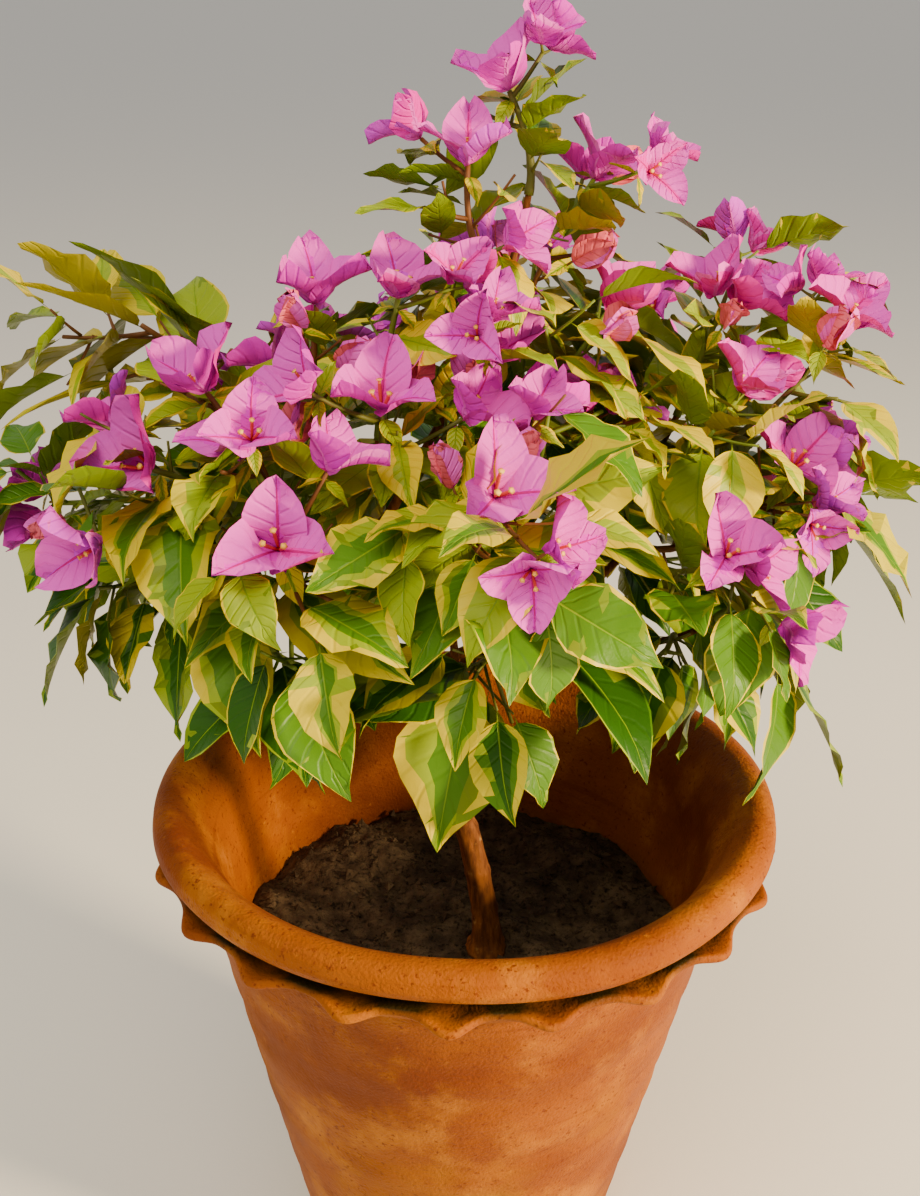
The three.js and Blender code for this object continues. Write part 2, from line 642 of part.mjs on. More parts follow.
// Leaves stand alternately along the stem and the twigs, smaller towards the young ends. A side
// twig that bears neither blossom nor leaf is left out.
function growLeaves(spray) {
  const turn = spray.random() * 6;
  let count = 0;
  for (const { line, from, leaves, head } of spray.ends) {
    const before = spray.solids.length;
    for (let i = 0; i < leaves; i++) {
      const last = i === leaves - 1 && !head;
      const place = last ? 1 : from + ((1 - from) * (i + 0.3)) / leaves;
      const { point: base, axis } = alongTube(line, place);
      const radial = squareTo(axis, UP).applyAxisAngle(axis, turn + count * GOLDEN_ANGLE);
      const size = spray.leafScale * (1.05 - 0.3 * place + 0.2 * spray.random());
      const roll = 0.7 * (spray.random() - 0.5);
      for (let attempt = 0; attempt < LEAF.attempts; attempt++) {
        const along = axis.clone().multiplyScalar(last ? 1 : 0.5);
        along.addScaledVector(radial.applyAxisAngle(axis, 1.9 * attempt), last ? 0.15 : 0.85);
        along.addScaledVector(UP, -0.35 - 0.75 * spray.sag).normalize();
        if (addLeaf(spray, base, along, LEAF.length * size, LEAF.width * size, roll)) break;
      }
      count += 1;
    }
    const bare = line !== spray.stem && !head;
    if (bare && spray.solids.length > before) spray.solids.push(twigSolid(line.controls));
  }
}

sprays.forEach(growTwigs);
sprays.forEach(growLeaves);
for (const spray of sprays) {
  const joined = wasm.Manifold.union(spray.solids);
  const largest = joined.decompose().sort((a, b) => b.volume() - a.volume())[0];
  const color = spray.blossoms > 0 ? 0xb9779a : 0x6f8c3a;
  addMesh(spray.name, largest, color, 0.7);
}

export default bush;
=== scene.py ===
"""A bougainvillea bush with variegated leaves and pink bracts, growing in a terracotta pot."""

import math
from types import SimpleNamespace

import bpy
import numpy as np
from mathutils import Matrix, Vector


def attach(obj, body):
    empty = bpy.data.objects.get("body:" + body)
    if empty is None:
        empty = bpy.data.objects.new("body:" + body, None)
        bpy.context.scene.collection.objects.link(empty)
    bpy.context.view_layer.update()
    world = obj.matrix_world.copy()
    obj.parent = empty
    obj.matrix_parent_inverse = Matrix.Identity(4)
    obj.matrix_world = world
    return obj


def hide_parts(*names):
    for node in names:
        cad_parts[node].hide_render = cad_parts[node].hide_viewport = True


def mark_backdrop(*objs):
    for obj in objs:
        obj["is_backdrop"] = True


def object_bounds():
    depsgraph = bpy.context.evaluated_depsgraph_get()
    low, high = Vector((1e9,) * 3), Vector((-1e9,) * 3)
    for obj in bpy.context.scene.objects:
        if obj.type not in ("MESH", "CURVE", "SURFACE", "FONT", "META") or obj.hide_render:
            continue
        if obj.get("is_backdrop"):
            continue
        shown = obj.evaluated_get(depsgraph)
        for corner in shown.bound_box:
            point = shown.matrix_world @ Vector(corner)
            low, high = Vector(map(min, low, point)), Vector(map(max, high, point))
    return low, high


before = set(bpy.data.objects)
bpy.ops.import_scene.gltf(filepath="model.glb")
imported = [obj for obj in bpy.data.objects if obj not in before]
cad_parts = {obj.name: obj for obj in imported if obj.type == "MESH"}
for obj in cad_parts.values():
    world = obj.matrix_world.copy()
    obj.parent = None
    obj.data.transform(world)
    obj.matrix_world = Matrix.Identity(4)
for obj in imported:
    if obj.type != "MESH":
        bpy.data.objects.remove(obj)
CAD_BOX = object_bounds()

bl_info = {
    "name": "Potted bougainvillea bush",
    "version": (1, 0, 0),
    "blender": (4, 5, 0),
    "location": "3D View > Sidebar > Bougainvillea",
    "description": "Builds a bougainvillea bush with variegated leaves in a terracotta pot",
    "category": "Add Mesh",
}

MM = 0.001
UP = np.array((0.0, 0.0, 1.0))
GAP = 0.3
GOLDEN_ANGLE = math.pi * (3 - math.sqrt(5))

# Sizes in millimetres, as in the part's source
POT = {"base": 89.7, "slope": 0.211, "wall": 12.0, "floor": 14.0, "neck": 296.0}
ROLL = {"at": (165.0, 318.0), "radius": 10.0}
BAND = {"waves": 21, "phase": 0.73, "edge": 172.2, "swing": 4.2, "rise": 1.4, "lip": 2.6}
BAND.update({"foot": 274.0, "height": 298.2, "back": 303.0})
DRAIN = {"count": 3, "radius": 6.0, "ring": 45.0}
SOIL = {"height": 233.0, "relief": 5.0, "flat": 18.0}
TRUNK_PATH = np.array(((14, -30, 233.3), (14, -30, 275), (0, -34, 350), (-46, -20, 405)), float)
TRUNK = {"foot": 7.6, "fork": 5.2, "flare": 4.2, "flare_height": 9.0, "steps": 12}
STEM_STEPS = 4
BOUGH_STEP = 26
TWIG = {"length": 48.0, "attempts": 3}
LEAF = {"length": 70.0, "width": 40.0, "fold": 0.16, "droop": 0.14, "attempts": 2}
BRACT = {"length": 38.0, "width": 29.0, "splay": 0.78}
CLEAR = {"mass": 4.5, "own": 3.0, "limb": 4.0}
UNDERSIDE = {"height": 364.0, "radius": 146.0, "slope": 0.5, "narrower": 1.35, "twigs": 22.0}

# Finer growth, which the source leaves out
FINE = {"mass": 2.6, "own": 1.8, "limb": 2.5}
YOUNG = {"mass": 5, "own": 5, "limb": 2.5}
TWIGLET = {"length": 25.0, "on_stem": 12, "on_twig": 4}
CLUSTER = {"spread": 0.55, "size": 0.78, "shift": 0.17}
OPEN_ABOVE = 600.0

# Rings and sides of the round meshes, and how far a foot reaches into its parent
RINGS = {"trunk": 110, "bough": 80, "stem": 11, "twig": 5}
SIDES = {"trunk": 28, "bough": 14, "stem": 7, "twig": 5, "flower": 5}
DEPTH = {"bough": 3.2, "stem": 2.6}

# Boughs: parent limb, place along it (1 is its tip), end point and the radii at foot and tip
BOUGHS = (
    ("leader", "trunk", 1, (26, 12, 652), 3.6, 1.6),
    ("left", "trunk", 0.9, (-118, -42, 498), 3.2, 1.9),
    ("right", "trunk", 0.95, (88, -12, 486), 3.4, 1.9),
    ("front", "trunk", 0.76, (-8, -72, 478), 2.9, 1.8),
    ("back", "trunk", 0.8, (8, 98, 492), 3.2, 1.8),
    ("left_rear", "trunk", 0.84, (-116, 34, 512), 2.9, 1.8),
    ("centre", "leader", 0.14, (-46, -22, 538), 2.6, 1.7),
    ("front_left", "left", 0.2, (-80, -72, 462), 2.4, 1.7),
    ("right_rear", "right", 0.45, (112, 46, 532), 2.5, 1.7),
    ("right_low", "right", 0.6, (132, -4, 432), 2.3, 1.7),
    ("back_right", "back", 0.36, (86, 104, 466), 2.5, 1.7),
    ("back_left", "back", 0.5, (-80, 104, 470), 2.4, 1.7),
)

# Sprays: bough, place along it, tip, and then the blossoms, side twigs, leaf scale and sag
SPRAYS = (
    ("top", "leader", 1, (15, 15, 697), 2, 2, 0.6, -0.3),
    ("top_left", "leader", 0.88, (-4, 5, 664), 2, 2, 0.6, -0.2),
    ("top_right", "leader", 0.93, (58, 24, 656), 3, 3, 0.6, -0.2),
    ("upper_left", "leader", 0.74, (-6, -8, 626), 2, 2, 0.7, -0.1),
    ("upper_right", "leader", 0.78, (38, 26, 622), 1, 2, 0.8, 0),
    ("middle_right", "leader", 0.6, (68, 20, 592), 1, 3, 0.9, 0.1),
    ("middle", "leader", 0.5, (6, -22, 574), 2, 3, 0.85, 0.1),
    ("centre_left", "centre", 0.85, (-75, -22, 602), 2, 2, 0.7, -0.1),
    ("centre_top", "centre", 1, (-36, -24, 606), 3, 2, 0.7, -0.1),
    ("centre_front", "centre", 0.75, (-42, -62, 562), 3, 3, 0.85, 0.1),
    ("front", "front", 1, (10, -104, 536), 3, 3, 0.95, 0.1),
    ("front_upper", "front", 0.85, (36, -44, 556), 1, 3, 0.9, 0.1),
    ("front_low", "front", 0.7, (14, -98, 462), 0, 4, 1.2, 0.7),
    ("front_left", "front_left", 1, (-86, -106, 510), 2, 3, 0.9, 0.2),
    ("front_left_low", "front_left", 0.7, (-112, -92, 470), 0, 4, 1.15, 0.7),
    ("left", "left", 1, (-150, -62, 532), 3, 3, 0.85, 0.1),
    ("left_upper", "left", 0.88, (-126, -42, 564), 1, 2, 0.8, 0),
    ("left_front", "left", 0.7, (-104, -68, 542), 2, 3, 0.85, 0.1),
    ("left_low", "left", 0.82, (-196, 4, 452), 0, 4, 1, 0.6),
    ("left_high", "left_rear", 1, (-166, 8, 584), 0, 3, 0.95, 0),
    ("left_far", "left_rear", 0.9, (-232, 46, 474), 1, 3, 0.85, 0.4),
    ("left_rear", "left_rear", 0.75, (-134, 92, 520), 1, 3, 0.95, 0.2),
    ("right_inner", "right", 0.78, (64, 2, 542), 1, 3, 0.85, 0.1),
    ("right_upper", "right", 1, (136, 10, 550), 1, 3, 0.85, 0.1),
    ("right_front", "right", 0.9, (124, -66, 490), 2, 4, 0.95, 0.3),
    ("right", "right", 0.96, (166, -4, 516), 3, 4, 0.9, 0.2),
    ("right_high", "right_rear", 1, (130, 44, 590), 2, 3, 0.8, 0),
    ("right_far", "right_rear", 0.9, (190, 26, 584), 2, 3, 0.75, 0),
    ("right_rear", "right_rear", 0.7, (186, 70, 500), 1, 3, 0.95, 0.3),
    ("right_low", "right_low", 1, (172, -12, 408), 0, 4, 1.1, 0.8),
    ("right_low_front", "right_low", 0.75, (98, -62, 440), 0, 4, 1.1, 0.7),
    ("back", "back", 1, (10, 150, 560), 2, 3, 0.95, 0.1),
    ("back_upper", "back", 0.85, (34, 92, 604), 2, 3, 0.85, 0),
    ("back_low", "back", 0.7, (14, 168, 450), 1, 3, 1.1, 0.6),
    ("back_right", "back_right", 1, (116, 148, 520), 2, 3, 0.95, 0.2),
    ("back_right_low", "back_right", 0.75, (146, 118, 420), 0, 4, 1.1, 0.7),
    ("back_left", "back_left", 1, (-92, 148, 536), 2, 3, 0.95, 0.2),
    ("back_left_low", "back_left", 0.75, (-126, 126, 424), 1, 4, 1.1, 0.7),
)

# Leaves that stand out at the edge of the crown: spray, place on its stem, tip, length, width
EDGE_LEAVES = (
    ("left_high", 0.95, (-218, -30, 616), 76, 30),
    ("left_high", 0.7, (-192, 8, 630), 66, 34),
    ("left_high", 0.5, (-230, -28, 552), 78, 22),
    ("left", 0.7, (-128, -136, 482), 72, 44),
    ("front_left_low", 1, (-106, -138, 420), 66, 42),
    ("front_low", 0.55, (-12, -116, 354), 86, 54),
    ("front_low", 0.95, (34, -98, 416), 58, 36),
    ("front_low", 0.75, (28, -66, 356), 50, 28),
    ("front", 0.5, (88, -128, 446), 74, 44),
    ("front_left", 0.4, (-50, -84, 398), 58, 34),
    ("front_left_low", 0.6, (-87, -64, 350), 62, 30),
    ("front_left_low", 0.75, (-134, -78, 400), 60, 32),
    ("left_low", 0.5, (-150, -60, 384), 66, 34),
    ("left_low", 0.8, (-186, -24, 394), 58, 30),
    ("left_low", 0.98, (-210, -6, 416), 46, 24),
    ("left_far", 0.8, (-226, 18, 440), 48, 24),
    ("left_far", 0.6, (-256, 92, 462), 50, 20),
    ("right_low_front", 0.95, (104, -62, 376), 64, 36),
    ("right_low_front", 0.9, (80, -66, 380), 56, 32),
    ("right_low_front", 0.5, (112, -32, 354), 62, 34),
    ("right_low", 0.25, (138, -40, 372), 56, 30),
    ("right_low", 0.8, (168, -36, 338), 74, 38),
    ("right_low", 1, (216, -20, 344), 76, 38),
    ("right_low", 0.45, (192, 30, 352), 56, 30),
    ("right_rear", 0.9, (252, 30, 420), 78, 40),
    ("right_far", 0.9, (228, 12, 558), 46, 22),
)

BOUGH_NODES = ["bough_" + row[0] for row in BOUGHS]
SPRAY_NODES = ["spray_" + row[0] for row in SPRAYS]
BLOSSOM_NODES = ["spray_" + row[0] for row in SPRAYS if row[4] > 0]


# Growth of the plant

LIMB, SHOOT, BLADE = 0, 1, 2


def number_stream(seed):
    """Repeatable numbers from 0 to 1: each state is the last one times 48271, modulo 2147483647."""
    state = seed
    while True:
        state = state * 48271 % 2147483647
        yield state / 2147483647


def vector(*values):
    return np.array(values, float)


def unit(values):
    return values / np.linalg.norm(values)


def square_to(axis, wanted=UP):
    """The wanted direction less its part along the axis, made one long."""
    square = wanted - np.dot(wanted, axis) * axis
    length = np.linalg.norm(square)
    return square / length if length > 1e-3 else square_to(axis, vector(1.0, 0.2, 0.0))


def turned(values, axis, angle):
    """A direction turned about a unit axis: v cos a + (axis x v) sin a + axis (axis . v)(1 - cos a)."""
    along = axis * np.dot(axis, values) * (1 - math.cos(angle))
    return values * math.cos(angle) + np.cross(axis, values) * math.sin(angle) + along


def curve_points(controls, t):
    """Points of a Bezier curve at the values t, by repeated halving between its control points."""
    t = np.atleast_1d(np.asarray(t, float))[:, None]
    level = [np.broadcast_to(p, (len(t), 3)) for p in controls]
    while len(level) > 1:
        level = [a + (b - a) * t for a, b in zip(level[:-1], level[1:])]
    return level[0]


def curve_samples(controls, start=0.0):
    """Points about 3 mm apart along a curve, from start to its end."""
    count = math.ceil(np.linalg.norm(controls[-1] - controls[0]) / 3)
    return curve_points(controls, start + (1 - start) * np.arange(count + 1) / count)


def taper(foot, tip):
    """A radius that changes evenly from foot to tip."""
    return lambda t: foot + (tip - foot) * t


def trunk_radius(t):
    """Straight taper from foot to fork, and a root flare that dies away with height as exp(-h / 9)."""
    height = 0.85 * t * (TRUNK_PATH[3, 2] - SOIL["height"])
    flare = TRUNK["flare"] * np.exp(-height / TRUNK["flare_height"])
    return taper(TRUNK["foot"], TRUNK["fork"])(t) + flare


class Line:
    """A limb, stem or twig: its curve, and the straight steps in which the solids take it."""

    def __init__(self, controls, steps=1, radius=None, axis=None):
        self.controls, self.steps, self.radius, self.axis = controls, steps, radius, axis

    def at(self, t):
        """Point and direction at t on the straight steps."""
        step = min(self.steps - 1, math.floor(t * self.steps))
        before, after = curve_points(self.controls, (step / self.steps, (step + 1) / self.steps))
        return before + (after - before) * (t * self.steps - step), unit(after - before)

    def side(self, t, angle):
        """Point and direction at t, and the upward side of the line turned about it by an angle."""
        point, axis = self.at(t)
        return point, axis, turned(square_to(axis), axis, angle)

    def foot_of_branch(self, place, target):
        """Where a branch leaves: past this line's tip, or square out of its side."""
        if place == 1:
            before, end = curve_points(self.controls, (0.99, 1))
            axis = unit(end - before)
            return end + GAP * axis, axis
        point, axis = self.at(place)
        out = square_to(axis, target - point)
        return point + out * (self.radius(place) + GAP), out


class Space:
    """The space already taken, as sampled points, so that each mass keeps to its own."""

    def __init__(self):
        self.points, self.owners, self.kinds = np.zeros((0, 3)), np.zeros(0, int), np.zeros(0, int)

    def occupy(self, samples, owner, kind):
        self.points = np.concatenate([self.points, samples])
        self.owners = np.concatenate([self.owners, np.full(len(samples), owner)])
        self.kinds = np.concatenate([self.kinds, np.full(len(samples), kind)])

    def is_free(self, samples, owner, away=False, clear=CLEAR):
        """True where no sample is nearer to a taken point than the clearance between the two.

        Samples that aren't away from their foot may touch the shoots of their own spray.
        """
        radius, height = np.hypot(samples[:, 0], samples[:, 1]), samples[:, 2]
        rim = np.hypot(radius - ROLL["at"][0], height - ROLL["at"][1]) < ROLL["radius"] + 6
        low = (height < SOIL["height"] + 40) | ((radius > 130) & (height < 318))
        if np.any(rim | low):
            return False
        inside = np.all(self.points > samples.min(0) - clear["mass"], axis=1)
        inside &= np.all(self.points < samples.max(0) + clear["mass"], axis=1)
        if not inside.any():
            return True
        owners, kinds = self.owners[inside], self.kinds[inside]
        apart = np.linalg.norm(samples[:, None] - self.points[inside][None], axis=2)
        other = np.where(kinds == LIMB, clear["limb"], clear["mass"])
        need = np.where(owners == owner, clear["own"], other)[None].repeat(len(samples), 0)
        touching = ~np.broadcast_to(away, len(samples))
        need[((owners == owner) & (kinds == SHOOT))[None] & touching[:, None]] = 0
        return not np.any(apart < need)


def blade_samples(half_width, start, length):
    """Rows 4.5 mm apart along a blade and points at most 4.5 mm apart across it, as (u, v)."""
    for u in np.arange(start, length + 1e-9, 4.5):
        half = half_width(u / length)
        columns = max(1, math.ceil(half / 4.5))
        yield u, half * np.arange(-columns, columns + 1) / columns


def leaf_samples(base, along, face, length, width):
    """Points over a folded, drooping leaf, and whether each is more than 14 mm from its base."""
    across = np.cross(along, face)
    points = []

    def half_width(s):
        return (s / 0.34) * 0.5 * width if s < 0.34 else (1 - s) / 0.66 * 0.53 * width

    for u, v in blade_samples(half_width, 0.12 * length, length):
        s = u / length
        w = LEAF["fold"] * 2 * np.abs(v) - LEAF["droop"] * length * s * s
        points.append(base + u * along + v[:, None] * across + w[:, None] * face)
    points = np.concatenate(points)
    return points, np.linalg.norm(points - base, axis=1) > 14


def blossom_samples(base, axis, turn, scale):
    """Points over the three flat bracts of a blossom."""
    side = square_to(axis)
    other = np.cross(axis, side)
    length, width = BRACT["length"] * scale, BRACT["width"] * scale
    out_length, up_length = length * math.sin(BRACT["splay"]), length * math.cos(BRACT["splay"])
    points = []
    for k in range(3):
        angle = turn + 2 * math.pi * k / 3
        radial = side * math.cos(angle) + other * math.sin(angle)
        tangent = other * math.cos(angle) - side * math.sin(angle)
        for u, v in blade_samples(lambda s: 0.5 * width * min(s / 0.45, (1 - s) / 0.55), 4, length):
            s = u / length
            spine = base + s * out_length * radial + s * up_length * axis
            points.append(spine + v[:, None] * tangent)
    return np.concatenate(points)


def underside_at(points):
    """The least height of leaves: level over the pot and rising outside an oval."""
    across = np.hypot(points[..., 0], UNDERSIDE["narrower"] * points[..., 1])
    return UNDERSIDE["height"] + UNDERSIDE["slope"] * np.maximum(0, across - UNDERSIDE["radius"])


def leaf_face(base, along, roll):
    """The direction of a leaf's upper side: square to the leaf, to the sky and a little outwards."""
    outward = unit(vector(base[0], base[1], 0))
    return turned(square_to(along, UP + 0.35 * outward), along, roll)


class Spray:
    """A mass of the crown: a stem from its bough, on which twigs, leaves and blossoms are kept.

    Its stem runs from the bough to the middle of its place. Each thing is kept if its space is free.
    """

    def __init__(self, index, row, limbs, space):
        self.name, bough, place, tip, self.blossoms, self.twigs, self.scale, self.sag = row
        self.index, self.space, self.tip = index, space, vector(*tip)
        foot, self.axis = limbs[bough].foot_of_branch(place, self.tip)
        reach = np.linalg.norm(self.tip - foot)
        bend = foot + 0.4 * reach * self.axis + 0.2 * reach * max(self.sag, 0) * UP
        self.stem = Line((foot, bend, self.tip), STEM_STEPS)
        self.random = number_stream(1000 + 37 * index).__next__
        self.lines, self.leaves, self.heads, self.samples = [], [], [], []
        self.take(curve_samples(self.stem.controls, 0.04), SHOOT)

    def take(self, samples, kind):
        self.space.occupy(samples, self.index, kind)
        self.samples.append(samples)

    def is_free(self, samples, away=False, clear=CLEAR):
        return self.space.is_free(samples, self.index, away, clear)

    def hold_reach(self):
        """Keeps the box of all that the source grows, in which finer growth stays."""
        samples = np.concatenate(self.samples)
        self.low, self.high = samples.min(0) - 3, samples.max(0) + 3

    def is_inside(self, samples):
        return bool(np.all(samples > self.low) and np.all(samples < self.high))

    def add_twig(self, controls, clear=CLEAR):
        samples = curve_samples(controls, 0.15)
        free = self.is_free(samples, False, clear)
        if free:
            self.take(samples, SHOOT)
        return free

    def add_leaf(self, base, along, size, roll, clear=CLEAR, edge=False, fine=False):
        """A leaf of (length, width), which unless it is an edge leaf is above the underside."""
        face = leaf_face(base, along, roll)
        samples, away = leaf_samples(base, along, face, *size)
        if not edge and np.any(samples[:, 2] < underside_at(samples)):
            return False
        if fine and not self.is_inside(samples):
            return False
        if not self.is_free(samples, away, clear):
            return False
        self.take(samples, BLADE)
        leaf = {"base": base, "along": along, "face": face, "edge": edge}
        self.leaves.append({**leaf, "length": size[0], "width": size[1]})
        return True

    def add_head(self, base, axis, turn, scale, young=False):
        self.heads.append({"base": base, "axis": axis, "turn": turn, "scale": scale, "young": young})

    def bract_scale(self):
        """Blossoms shrink with the leaves, but half as much."""
        return 0.45 + 0.5 * self.scale

    def grow_end_blossom(self):
        if self.blossoms:
            aim = unit(self.stem.at(1)[1] + vector(0, -0.3, 0.25))
            turn = self.random() * 2
            samples = blossom_samples(self.tip, aim, turn, self.bract_scale())
            if self.is_free(samples):
                self.take(samples, BLADE)
                self.add_head(self.tip, aim, turn, self.bract_scale())

    def grow_edge_leaf(self, place, tip, length, width):
        """A leaf at the edge of the crown, worked back from its tip to the stem."""
        start = self.stem.at(place)[0]
        along = unit(unit(tip - start) + 0.5 * LEAF["droop"] * UP)
        base = tip - length * along + square_to(along) * length * LEAF["droop"]
        away = np.linalg.norm(start - base) > 8
        if away and not self.add_twig((start, base)):
            return
        grown = self.add_leaf(base if away else start, along, (length, width), 0, edge=True)
        if away and grown:
            self.lines.append(((start, base), "twig"))

    def grow_twigs(self):
        """Side twigs leave the stem at the golden angle and end in a blossom or a leaf."""
        left = self.blossoms - 1
        turn = self.random() * 6
        self.ends = [SimpleNamespace(line=self.stem, start=0.3, leaves=5, head=left >= 0)]
        for j in range(self.twigs):
            start, axis, radial = self.stem.side(0.94 - 0.55 * j / self.twigs, turn + j * GOLDEN_ANGLE)
            length = TWIG["length"] * self.scale * (0.7 + 0.5 * self.random())
            scale = self.bract_scale() * (0.75 + 0.2 * self.random())
            for attempt in range(TWIG["attempts"]):
                radial = turned(radial, axis, 1.9 * attempt)
                out = unit(axis * 0.4 + radial * 0.9)
                out = unit(out + UP * (0.2 if left > 0 else -0.3 * self.sag))
                end = start + out * length
                aim = unit(out + vector(0, -0.2, 0.4))
                bracts_turn = self.random() * 2
                samples = blossom_samples(end, aim, bracts_turn, scale)
                if left > 0 and not self.is_free(samples):
                    continue
                if end[2] < underside_at(end) + UNDERSIDE["twigs"] or not self.add_twig((start, end)):
                    continue
                if left > 0:
                    self.take(samples, BLADE)
                    self.add_head(end, aim, bracts_turn, scale)
                    self.lines.append(((start, end), "twig"))
                line = Line((start, end))
                self.ends.append(SimpleNamespace(line=line, start=0.45, leaves=2, head=left > 0))
                left -= 1
                break

    def grow_leaves(self):
        """Leaves stand alternately along the stem and the twigs, smaller towards the young ends."""
        turn = self.random() * 6
        count = 0
        for end in self.ends:
            before = len(self.leaves)
            for i in range(end.leaves):
                last = i == end.leaves - 1 and not end.head
                place = 1 if last else end.start + (1 - end.start) * (i + 0.3) / end.leaves
                base, axis, radial = end.line.side(place, turn + count * GOLDEN_ANGLE)
                size = self.scale * (1.05 - 0.3 * place + 0.2 * self.random())
                roll = 0.7 * (self.random() - 0.5)
                for attempt in range(LEAF["attempts"]):
                    radial = turned(radial, axis, 1.9 * attempt)
                    along = axis * (1 if last else 0.5) + radial * (0.15 if last else 0.85)
                    along = unit(along + UP * (-0.35 - 0.75 * self.sag))
                    if self.add_leaf(base, along, (LEAF["length"] * size, LEAF["width"] * size), roll):
                        break
                count += 1
            end.bore = len(self.leaves) > before or end.head
            if end.line is not self.stem and end.bore and not end.head:
                self.lines.append((end.line.controls, "twig"))

    def grow_young_heads(self):
        """Half open young blossoms on short stalks near the end of a flowering stem."""
        random = number_stream(11003 + 47 * self.index).__next__
        for j in range(3 if self.blossoms else 0):
            start, axis, radial = self.stem.side(0.97 - 0.16 * j, 6 * random() + j * GOLDEN_ANGLE)
            out = unit(axis * 0.5 + radial * 0.8 + UP * 0.35)
            tip = start + out * (16 + 16 * random())
            scale = 0.5 + 0.16 * random()
            samples = tip + out * np.arange(3, 36 * scale, 3)[:, None]
            if not self.is_free(samples, True, YOUNG) or not self.is_inside(samples):
                continue
            if self.add_twig((start, tip), FINE):
                self.take(samples, BLADE)
                self.add_head(tip, out, 6 * random(), scale, True)
                self.lines.append(((start, tip), "twiglet"))

    def grow_twiglets(self):
        """Twiglets of a third order between the side twigs, each with up to three small leaves."""
        random = number_stream(7001 + 41 * self.index).__next__
        for end in self.ends:
            on_stem = end.line is self.stem
            if not on_stem and not end.bore:
                continue
            turn = 6 * random()
            number = TWIGLET["on_stem"] if on_stem else TWIGLET["on_twig"]
            if self.tip[2] > OPEN_ABOVE:
                number = number // 3
            for j in range(number):
                place = 0.16 + 0.8 * (j + 0.5 * random()) / number
                start, axis, radial = end.line.side(place, turn + j * GOLDEN_ANGLE)
                out = unit(axis * 0.5 + radial * 0.8 + UP * (0.15 - 0.3 * self.sag))
                tip = start + out * (TWIGLET["length"] * (0.5 + 0.9 * random()))
                if not self.is_inside(tip[None]) or tip[2] < underside_at(tip) + 8:
                    continue
                if not self.add_twig((start, tip), FINE):
                    continue
                before = len(self.leaves)
                for i in range(3):
                    at = (1, 0.72, 0.45)[i]
                    base, axis, radial = Line((start, tip)).side(at, turn + (i + j) * GOLDEN_ANGLE)
                    size = self.scale * (0.75 + 0.35 * random())
                    roll = 0.01 + 0.8 * (random() - 0.5)
                    along = axis * (1 if i == 0 else 0.5) + radial * (0.2 if i == 0 else 0.85)
                    along = unit(along + UP * (-0.25 - 0.75 * self.sag))
                    for share in (1.0, 0.68):
                        shape = (LEAF["length"] * size * share, LEAF["width"] * size * share)
                        if self.add_leaf(base, along, shape, roll, FINE, fine=True):
                            break
                if len(self.leaves) > before:
                    self.lines.append(((start, tip), "twiglet"))

    def grow_collars(self):
        """Two or three narrow young leaves under each blossom, turned out from its stalk."""
        random = number_stream(9001 + 43 * self.index).__next__
        for head in self.heads:
            turn, axis = 6 * random(), head["axis"]
            for i in range(2 + int(random() * 2)):
                radial = turned(square_to(axis), axis, turn + i * GOLDEN_ANGLE)
                along = unit(radial + axis * (0.5 * random() - 0.2) - UP * 0.35)
                length = (17 + 15 * random()) * head["scale"]
                base = head["base"] - axis * (2.5 + 3 * random())
                face = leaf_face(base, along, 0.6 * (random() - 0.5))
                leaf = {"base": base, "along": along, "face": face, "edge": False}
                self.leaves.append({**leaf, "length": length, "width": 0.42 * length})

    def split_heads(self):
        """Each blossom of the source stands for one large head or for two or three in its space."""
        random = number_stream(13001 + 53 * self.index).__next__
        heads, self.heads = self.heads, []
        for head in heads:
            number = 1 + int(3 * random() ** 0.95)
            if number == 1 or head["young"]:
                self.heads.append(head)
                continue
            axis, turn = head["axis"], 6 * random()
            for k in range(number):
                radial = turned(square_to(axis), axis, turn + 2 * math.pi * k / number)
                scale = head["scale"] * (CLUSTER["size"] + 0.14 * random())
                out = radial * BRACT["length"] * head["scale"] * CLUSTER["shift"]
                base = head["base"] + axis * (1 + 4 * random()) + out
                tilted = unit(axis + radial * CLUSTER["spread"] * (0.8 + 0.4 * random()))
                self.add_head(base, tilted, 2 * random(), scale)
                self.lines.append(((head["base"] - axis, base), "twiglet"))


def grow_limbs(space):
    """The trunk and the boughs by name."""
    limbs = {"trunk": Line(TRUNK_PATH, TRUNK["steps"], trunk_radius)}
    space.occupy(curve_samples(TRUNK_PATH), -1, LIMB)
    for number, (name, parent, place, tip, foot_radius, tip_radius) in enumerate(BOUGHS):
        tip = vector(*tip)
        foot, axis = limbs[parent].foot_of_branch(place, tip)
        reach = np.linalg.norm(tip - foot)
        bend = tip - 0.3 * reach * UP
        controls = (foot, foot + 0.28 * reach * axis, bend + (foot - bend) * 0.25, tip)
        steps = math.ceil(reach / BOUGH_STEP)
        limbs[name] = Line(controls, steps, taper(foot_radius, tip_radius), axis)
        space.occupy(curve_samples(controls), -2 - number, LIMB)
    return limbs


def grow_plant():
    """The limbs and sprays of the source's rule, and then the finer growth inside the same reach."""
    space = Space()
    limbs = grow_limbs(space)
    sprays = [Spray(index, row, limbs, space) for index, row in enumerate(SPRAYS)]
    named = {spray.name: spray for spray in sprays}
    for spray in sprays:
        spray.grow_end_blossom()
    for name, place, tip, length, width in EDGE_LEAVES:
        named[name].grow_edge_leaf(place, vector(*tip), length, width)
    for grow in (Spray.grow_twigs, Spray.grow_leaves, Spray.hold_reach, Spray.grow_young_heads):
        for spray in sprays:
            grow(spray)
    for spray in sprays:
        spray.grow_twiglets()
        spray.grow_collars()
        spray.split_heads()
    return limbs, sprays


# Shapes worked out as arrays


